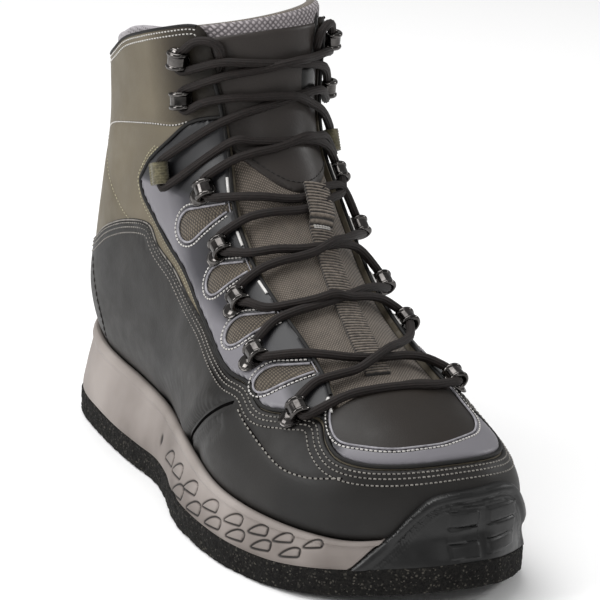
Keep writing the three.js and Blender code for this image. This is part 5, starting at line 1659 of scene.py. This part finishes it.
# Place of an eyelet on the upper, with the ways outboard, along the throat edge and out
def eyeletFrame(entry, side, base):
    row, x = (entry[0], -entry[1]) if side < 0 else (entry[2], entry[3])
    x = x * boot["heelWidth"]
    along = frontBase(row + 0.2, x, base) - frontBase(row - 0.2, x, base)
    across = frontBase(row, x + 1, base) - frontBase(row, x - 1, base)
    out = np.cross(across, along)
    out = out / np.linalg.norm(out)
    out = -out if out[1] > 0 else out
    along = along / np.linalg.norm(along)
    outboard = np.cross(out, along)
    outboard = outboard / np.linalg.norm(outboard)
    outboard = -outboard if outboard[0] * side < 0 else outboard
    return {"place": frontBase(row, x, base), "along": along, "outboard": outboard, "out": out}


def startPiece():
    bpy.ops.object.select_all(action="DESELECT")


def joinPieces(pieces, name):
    startPiece()
    for piece in pieces:
        piece.select_set(True)
    bpy.context.view_layer.objects.active = pieces[0]
    bpy.ops.object.join()
    bpy.context.object.name = name
    bpy.ops.object.transform_apply(location=True, rotation=True, scale=True)
    return bpy.context.object


def cutBelow(level):
    bpy.ops.object.mode_set(mode="EDIT")
    bpy.ops.mesh.select_all(action="SELECT")
    bpy.ops.mesh.bisect(plane_co=(0, 0, level * metre), plane_no=(0, 0, -1), use_fill=True, clear_outer=True)
    bpy.ops.object.mode_set(mode="OBJECT")


# Two wire arches with a saddle between them, on a plate with a domed rivet
def eyeletTemplate(name, sizes, openFrom=None):
    pieces = []
    for way in (-1, 1):
        startPiece()
        bpy.ops.mesh.primitive_torus_add(
            major_radius=sizes["bow"] * metre, minor_radius=sizes["wire"] * metre, major_segments=32,
            minor_segments=12, rotation=(math.pi / 2, 0, 0),
            location=(0, way * sizes["apart"] * metre, sizes["high"] * metre))
        bpy.ops.object.transform_apply(location=True, rotation=True, scale=True)
        cutBelow(0.2)
        pieces.append(bpy.context.object)
    startPiece()
    bpy.ops.mesh.primitive_cylinder_add(
        vertices=36, radius=sizes["bow"] * metre, depth=sizes["apart"] * 2 * metre, end_fill_type="NOTHING",
        rotation=(math.pi / 2, 0, 0), location=(0, 0, sizes["high"] * metre))
    bpy.ops.object.transform_apply(location=True, rotation=True, scale=True)
    saddle = bpy.context.object
    wall = saddle.modifiers.new("wall", "SOLIDIFY")
    wall.thickness, wall.offset = 1.1 * metre, 0
    bpy.ops.object.modifier_apply(modifier="wall")
    cutBelow(0.2)
    pieces.append(saddle)
    if openFrom is not None:
        for piece in pieces:
            bpy.context.view_layer.objects.active = piece
            bpy.ops.object.mode_set(mode="EDIT")
            bpy.ops.mesh.select_all(action="DESELECT")
            bpy.ops.object.mode_set(mode="OBJECT")
            for vertex in piece.data.vertices:
                x, z = vertex.co.x / metre, vertex.co.z / metre
                vertex.select = x > 1.2 and z < openFrom
            bpy.ops.object.mode_set(mode="EDIT")
            bpy.ops.mesh.select_mode(type="VERT")
            bpy.ops.mesh.delete(type="VERT")
            bpy.ops.mesh.select_all(action="SELECT")
            bpy.ops.mesh.fill_holes(sides=0)
            bpy.ops.object.mode_set(mode="OBJECT")
    long, wide, thick = sizes["plate"]
    startPiece()
    bpy.ops.mesh.primitive_cylinder_add(
        vertices=40, radius=metre, depth=thick * metre, location=(sizes["plateOut"] * metre, 0, thick / 2 * metre))
    plate = bpy.context.object
    plate.scale = (long, wide, 1)
    bpy.ops.object.transform_apply(location=True, rotation=True, scale=True)
    bevel = plate.modifiers.new("edge", "BEVEL")
    bevel.width, bevel.segments = 0.3 * metre, 2
    bpy.ops.object.modifier_apply(modifier="edge")
    pieces.append(plate)
    startPiece()
    bpy.ops.mesh.primitive_uv_sphere_add(segments=28, ring_count=16, radius=sizes["rivet"] * metre,
                                         location=(0, 0, 0))
    rivet = bpy.context.object
    rivet.scale = (1, 1, (sizes["rivetHigh"] - 0.6) / sizes["rivet"])
    rivet.location = (sizes["rivetOut"] * metre, 0, 0.6 * metre)
    bpy.ops.object.transform_apply(location=True, rotation=True, scale=True)
    cutBelow(0.3)
    pieces.append(rivet)
    startPiece()
    bpy.ops.mesh.primitive_torus_add(
        major_radius=sizes["rivet"] * metre, minor_radius=0.45 * metre, major_segments=32, minor_segments=8,
        location=(sizes["rivetOut"] * metre, 0, 0.75 * metre))
    pieces.append(bpy.context.object)
    template = joinPieces(pieces, name)
    template.data.materials.clear()
    template.data.materials.append(darkNickel)
    startPiece()
    template.select_set(True)
    bpy.context.view_layer.objects.active = template
    bpy.ops.object.shade_smooth_by_angle(angle=math.radians(40))
    return template


def copyTo(template, name, place):
    outboard, out = place["outboard"], place["out"]
    along = np.cross(out, outboard)
    turn = Matrix(np.stack([outboard, along, out], 1).tolist()).to_4x4()
    mesh = template.data.copy()
    mesh.name = name
    mesh.transform(Matrix.Translation(Vector(toFrame(place["place"]))) @ turn)
    piece = bpy.data.objects.new(name, mesh)
    bpy.context.scene.collection.objects.link(piece)
    return piece


sides = (("outer", -1), ("inner", 1))
eyeletSeat = 0.3


def makeEyelets():
    ring = eyeletTemplate("ringTemplate", ringPiece)
    hook = eyeletTemplate("hookTemplate", hookPiece, openFrom=5.4)
    for name, sign in sides:
        for index, entry in enumerate(ringTable):
            node = "ring_%s_%d" % (name, index + 1)
            piece = copyTo(ring, "ghillie_" + node, eyeletFrame(entry, sign, boot["stayTop"] + eyeletSeat - 0.3))
            finishPiece(piece, "metal", node)
        for index, entry in enumerate(hookTable):
            node = "hook_%s_%d" % (name, index + 1)
            piece = copyTo(hook, "speed_" + node, eyeletFrame(entry, sign, 0.0))
            finishPiece(piece, "metal", node)
    for template in (ring, hook):
        bpy.data.objects.remove(template)


makeEyelets()

webbingLoop = {"width": 10, "thick": 1.5, "radius": 3.1, "rib": 1.3}


# Loop of folded webbing: a band that goes round the lace and lies flat outboard of it
def makeLoops():
    r, thick = webbingLoop["radius"], webbingLoop["thick"]
    turns = np.radians(np.linspace(35, 270, 22))
    high = r + thick
    arc = [(r * math.cos(t), high + r * math.sin(t)) for t in turns[:-2]]
    outer = [(9.5, thick + 0.6), (7.0, thick + 1.0), (4.6, high + r * 0.2)] + arc + [(0.0, thick * 0.6), (5.0, thick * 0.5)]
    line = smoothLine(np.array(outer), 0.5)
    way = np.gradient(line, axis=0)
    way = np.stack([-way[:, 1], way[:, 0]], 1) / np.linalg.norm(way, axis=1)[:, None]
    columns = 25
    across = np.linspace(-0.5, 0.5, columns) * webbingLoop["width"]
    ribs = 0.16 * np.cos(across * 2 * math.pi / webbingLoop["rib"])
    for name, sign in sides:
        place = eyeletFrame(loopTable[0], sign, boot["stayTop"] + 0.1)
        sheets = []
        for depth in (thick / 2, -thick / 2):
            flat = line[:, None, :] + way[:, None, :] * (depth + np.sign(depth) * ribs[None, :, None] - 0 * across[None, :, None])
            point = (place["place"] + flat[..., :1] * place["outboard"] + flat[..., 1:] * place["out"]
                     + across[None, :, None] * place["along"])
            sheets.append(point.reshape(-1, 3))
        faces = gridFaces(len(line), columns)
        points = np.concatenate(sheets)
        faces = closeSheet(faces, len(sheets[0]))
        corners = points[faces]
        if np.einsum("ij,ij->i", corners[:, 0], np.cross(corners[:, 1], corners[:, 2])).sum() < 0:
            faces = faces[:, ::-1]
        piece = makeObject("webbing_loop_" + name, points, faces, oliveWebbing)
        finishPiece(piece, "olive", "lace_loop_" + name)


makeLoops()
print("eyelets made")


# lace: one cord through every eyelet, from one top hook down to the bar at the toe end and up again

lace = {"diameter": 3.7, "ribs": 10, "ribDepth": 0.36, "sides": 40, "step": 1.2, "twist": 0.0}


# Round braided cord: dark brown yarn laid in fine ribs along it, matt
def laceMaterial():
    material, tree, shader, coords = newMaterial("braidedCord", {"Roughness": 0.7, "Specular IOR Level": 0.35})
    tone = rampBetween(tree, noiseAt(tree, coords, 1.6, 4, 0.7), [(0.3, "100c0a"), (0.75, "211815")])
    tree.links.new(tone, shader.inputs["Base Color"])
    bumpFrom(tree, shader, noiseAt(tree, coords, 0.6, 2), 0.12, 0.7)
    return material


braidedCord = laceMaterial()
laceRows = ringTable + loopTable + hookTable


# Points through an eyelet, from its end towards the toe to its end towards the collar
def passEyelet(index, side):
    kind = 0 if index < 5 else 1 if index == 5 else 2
    base = boot["stayTop"] if kind < 2 else 0.0
    place = eyeletFrame(laceRows[index], side, base)
    high = (3.6, 4.4, 3.9)[kind]
    half = (3.4, 4.6, 3.2)[kind]
    wayOut = [(-half - 1.8, -2.6, high - 0.1), (-half, -0.2, high), (0, 0.1, high), (half, -0.2, high),
              (half + 1.8, -2.6, high - 0.1)]
    along = place["along"]
    return [place["place"] + along * a + place["outboard"] * b + place["out"] * c for a, b, c in wayOut]


# Where two strands cross: share of the way from the outer to the inner side, and how far the lower and the
# upper strand dip towards the toe in between, in rows
crossings = [(0.60, 0.35, 0.7), (0.50, 0.30, 0.6), (0.68, 0.30, 0.75), (0.90, 0.55, 1.05), (0.66, 0.35, 0.7),
             (0.60, 0.40, 0.7), (0.60, 0.40, 0.7)]


def restHeight(row, over):
    base = strap["top"] + 0.3 if row < strap["keeper"][0] else boot["tongueTop"] + (2.6 if row > 9.6 else 1.0)
    return base + lace["diameter"] / 2 + (lace["diameter"] * 0.9 if over else 0)


def eyeletAt(index, side):
    entry = laceRows[index]
    return (entry[0], -entry[1] * boot["heelWidth"]) if side < 0 else (entry[2], entry[3] * boot["heelWidth"])


# Points between an eyelet and the next one up on the other side
def crossThroat(index, side):
    where, lowDip, highDip = crossings[index]
    low, high = [eyeletAt(index, way) for way in (-1, 1)], [eyeletAt(index + 1, way) for way in (-1, 1)]
    over = (index + (side > 0)) % 2 == 0
    points = []
    for share in (0.14, 0.27, 0.4, 0.52, 0.64, 0.76, 0.88):
        away = np.exp(-((share - where) / 0.12) ** 2)
        bow = math.sin(math.pi * share)
        lower = low[0][0] + 0.33 + (low[1][0] - low[0][0]) * share - lowDip * bow
        upper = high[0][0] - 0.33 + (high[1][0] - high[0][0]) * share - highDip * bow
        climb = share ** (math.log(0.5) / math.log(where))
        row = lower + (upper - lower) * (climb if side < 0 else 1 - climb)
        x = low[0][1] + (low[1][1] - low[0][1]) * share
        height = restHeight(row, False) + (restHeight(row, over) - restHeight(row, False)) * away
        edge = min(share, 1 - share)
        height = max(height, 2.9 - (edge - 0.14) * 9)
        points.append(frontBase(row, x, height))
    return points if side < 0 else points[::-1]


def laceHalf(side):
    points = passEyelet(0, side)
    for index in range(7):
        points += crossThroat(index, side)
        side = -side
        points += passEyelet(index + 1, side)
    return points, side


# From the top hook inboard, then down into the gap between the shell's edge and the tongue
tailSteps = [(0.55, 0.90, 3.4), (0.50, 0.78, 2.6), (0.10, 0.68, 1.6), (-0.5, 0.66, 0.2), (-1.0, 0.70, -2.6),
             (-1.3, 0.76, -5.0)]


def laceTail(side):
    row, x = eyeletAt(7, side)
    return [frontBase(row + step, x * share, height) for step, share, height in tailSteps]


def makeLace():
    right, rightEnd = laceHalf(1)
    left, leftEnd = laceHalf(-1)
    right, left = right + laceTail(rightEnd), left + laceTail(leftEnd)
    row = laceRows[0][0] - 0.35
    bar = [frontBase(row + 0.1, x, height) for x, height in ((-20, 2.2), (-6, 1.4), (10, 1.4), (22, 2.4))]
    path = left[::-1] + bar + right
    line = smoothLine(np.array(path), 0.4)
    line = evenLine(smoothed(line, 24), lace["step"])
    length = np.linalg.norm(np.diff(line, axis=0), axis=1).sum()
    points, faces = cordMesh(line, lace["diameter"] / 2, lace["sides"], lace["ribs"], lace["ribDepth"],
                             twist=lace["twist"])
    piece = makeObject("boot_lace", points, faces, braidedCord, 80)
    finishPiece(piece, "lace", "lace_bar", *["lace_crossing_%d" % (i + 1) for i in range(7)])
    return length


laceLength = makeLace()
print("lace made, %.0f mm from end to end" % laceLength)


# short pale bars of reflective tape on the throat edge, one beside each ring

def makeEdgeBars():
    keep = np.minimum(whole["collar"] - 4, whole["stay"] - 2)
    edges = edgeLines(keep, lambda sheet: sheet["throat"], 2.5, boot["stayTop"])
    bars = []
    for index in range(5):
        for side in (-1, 1):
            place = eyeletFrame(laceRows[index], side, 0)["place"]
            for edge in edges:
                gaps = np.linalg.norm(edge["base"] - place, axis=1)
                nearest = gaps.argmin()
                if gaps[nearest] < 16:
                    part = slice(max(0, nearest - 5), nearest + 6)
                    bars.append({"base": edge["base"][part], "lift": edge["lift"][part], "grow": edge["grow"]})
    makeCord("reflective_bars", bars, 0.7, reflectiveTape, "stay")


makeEdgeBars()


# insole: its solid stays, with a cloth face

def coverInsole():
    insole = bpy.data.objects["insole"]
    insole.data.materials.clear()
    insole.data.materials.append(insoleCloth)


coverInsole()


# light and floor

studio = {
    "floor": "ffffff", "floorSize": 8.0, "world": 0.34,
    "lights": [ # name, place in m, size, watts, aim
        ("topLight", (-0.5, 0.5, 2.3), 1.8, 44, (0, 0, 0.1)),
        ("sideLight", (-1.6, 0.1, 0.8), 0.8, 15, (0, 0.05, 0.1)),
        ("frontLight", (0.1, -1.7, 1.2), 0.3, 3, (0, 0, 0.08)),
        ("edgeLight", (1.3, -0.2, 0.7), 0.3, 4, (0, 0, 0.12)),
    ],
}


def addStudio():
    bpy.ops.mesh.primitive_plane_add(size=studio["floorSize"])
    floor = bpy.context.object
    floor.name = "floor"
    material, tree, shader, coords = newMaterial("paleStudioFloor", {"Roughness": 0.9})
    shader.inputs["Base Color"].default_value = linear(studio["floor"])
    floor.data.materials.append(material)
    for name, place, size, power, aim in studio["lights"]:
        data = bpy.data.lights.new(name, "AREA")
        data.size, data.energy = size, power
        lamp = bpy.data.objects.new(name, data)
        lamp.location = place
        lamp.rotation_euler = (Vector(aim) - Vector(place)).to_track_quat("-Z", "Y").to_euler()
        bpy.context.scene.collection.objects.link(lamp)
    world = bpy.data.worlds.new("studioWorld")
    world.use_nodes = True
    world.node_tree.nodes["Background"].inputs["Color"].default_value = (1, 1, 1, 1)
    world.node_tree.nodes["Background"].inputs["Strength"].default_value = studio["world"]
    bpy.context.scene.world = world
    bpy.context.scene.view_settings.view_transform = "Standard"    # keeps the dark leather dark


addStudio()
print("studio lit")
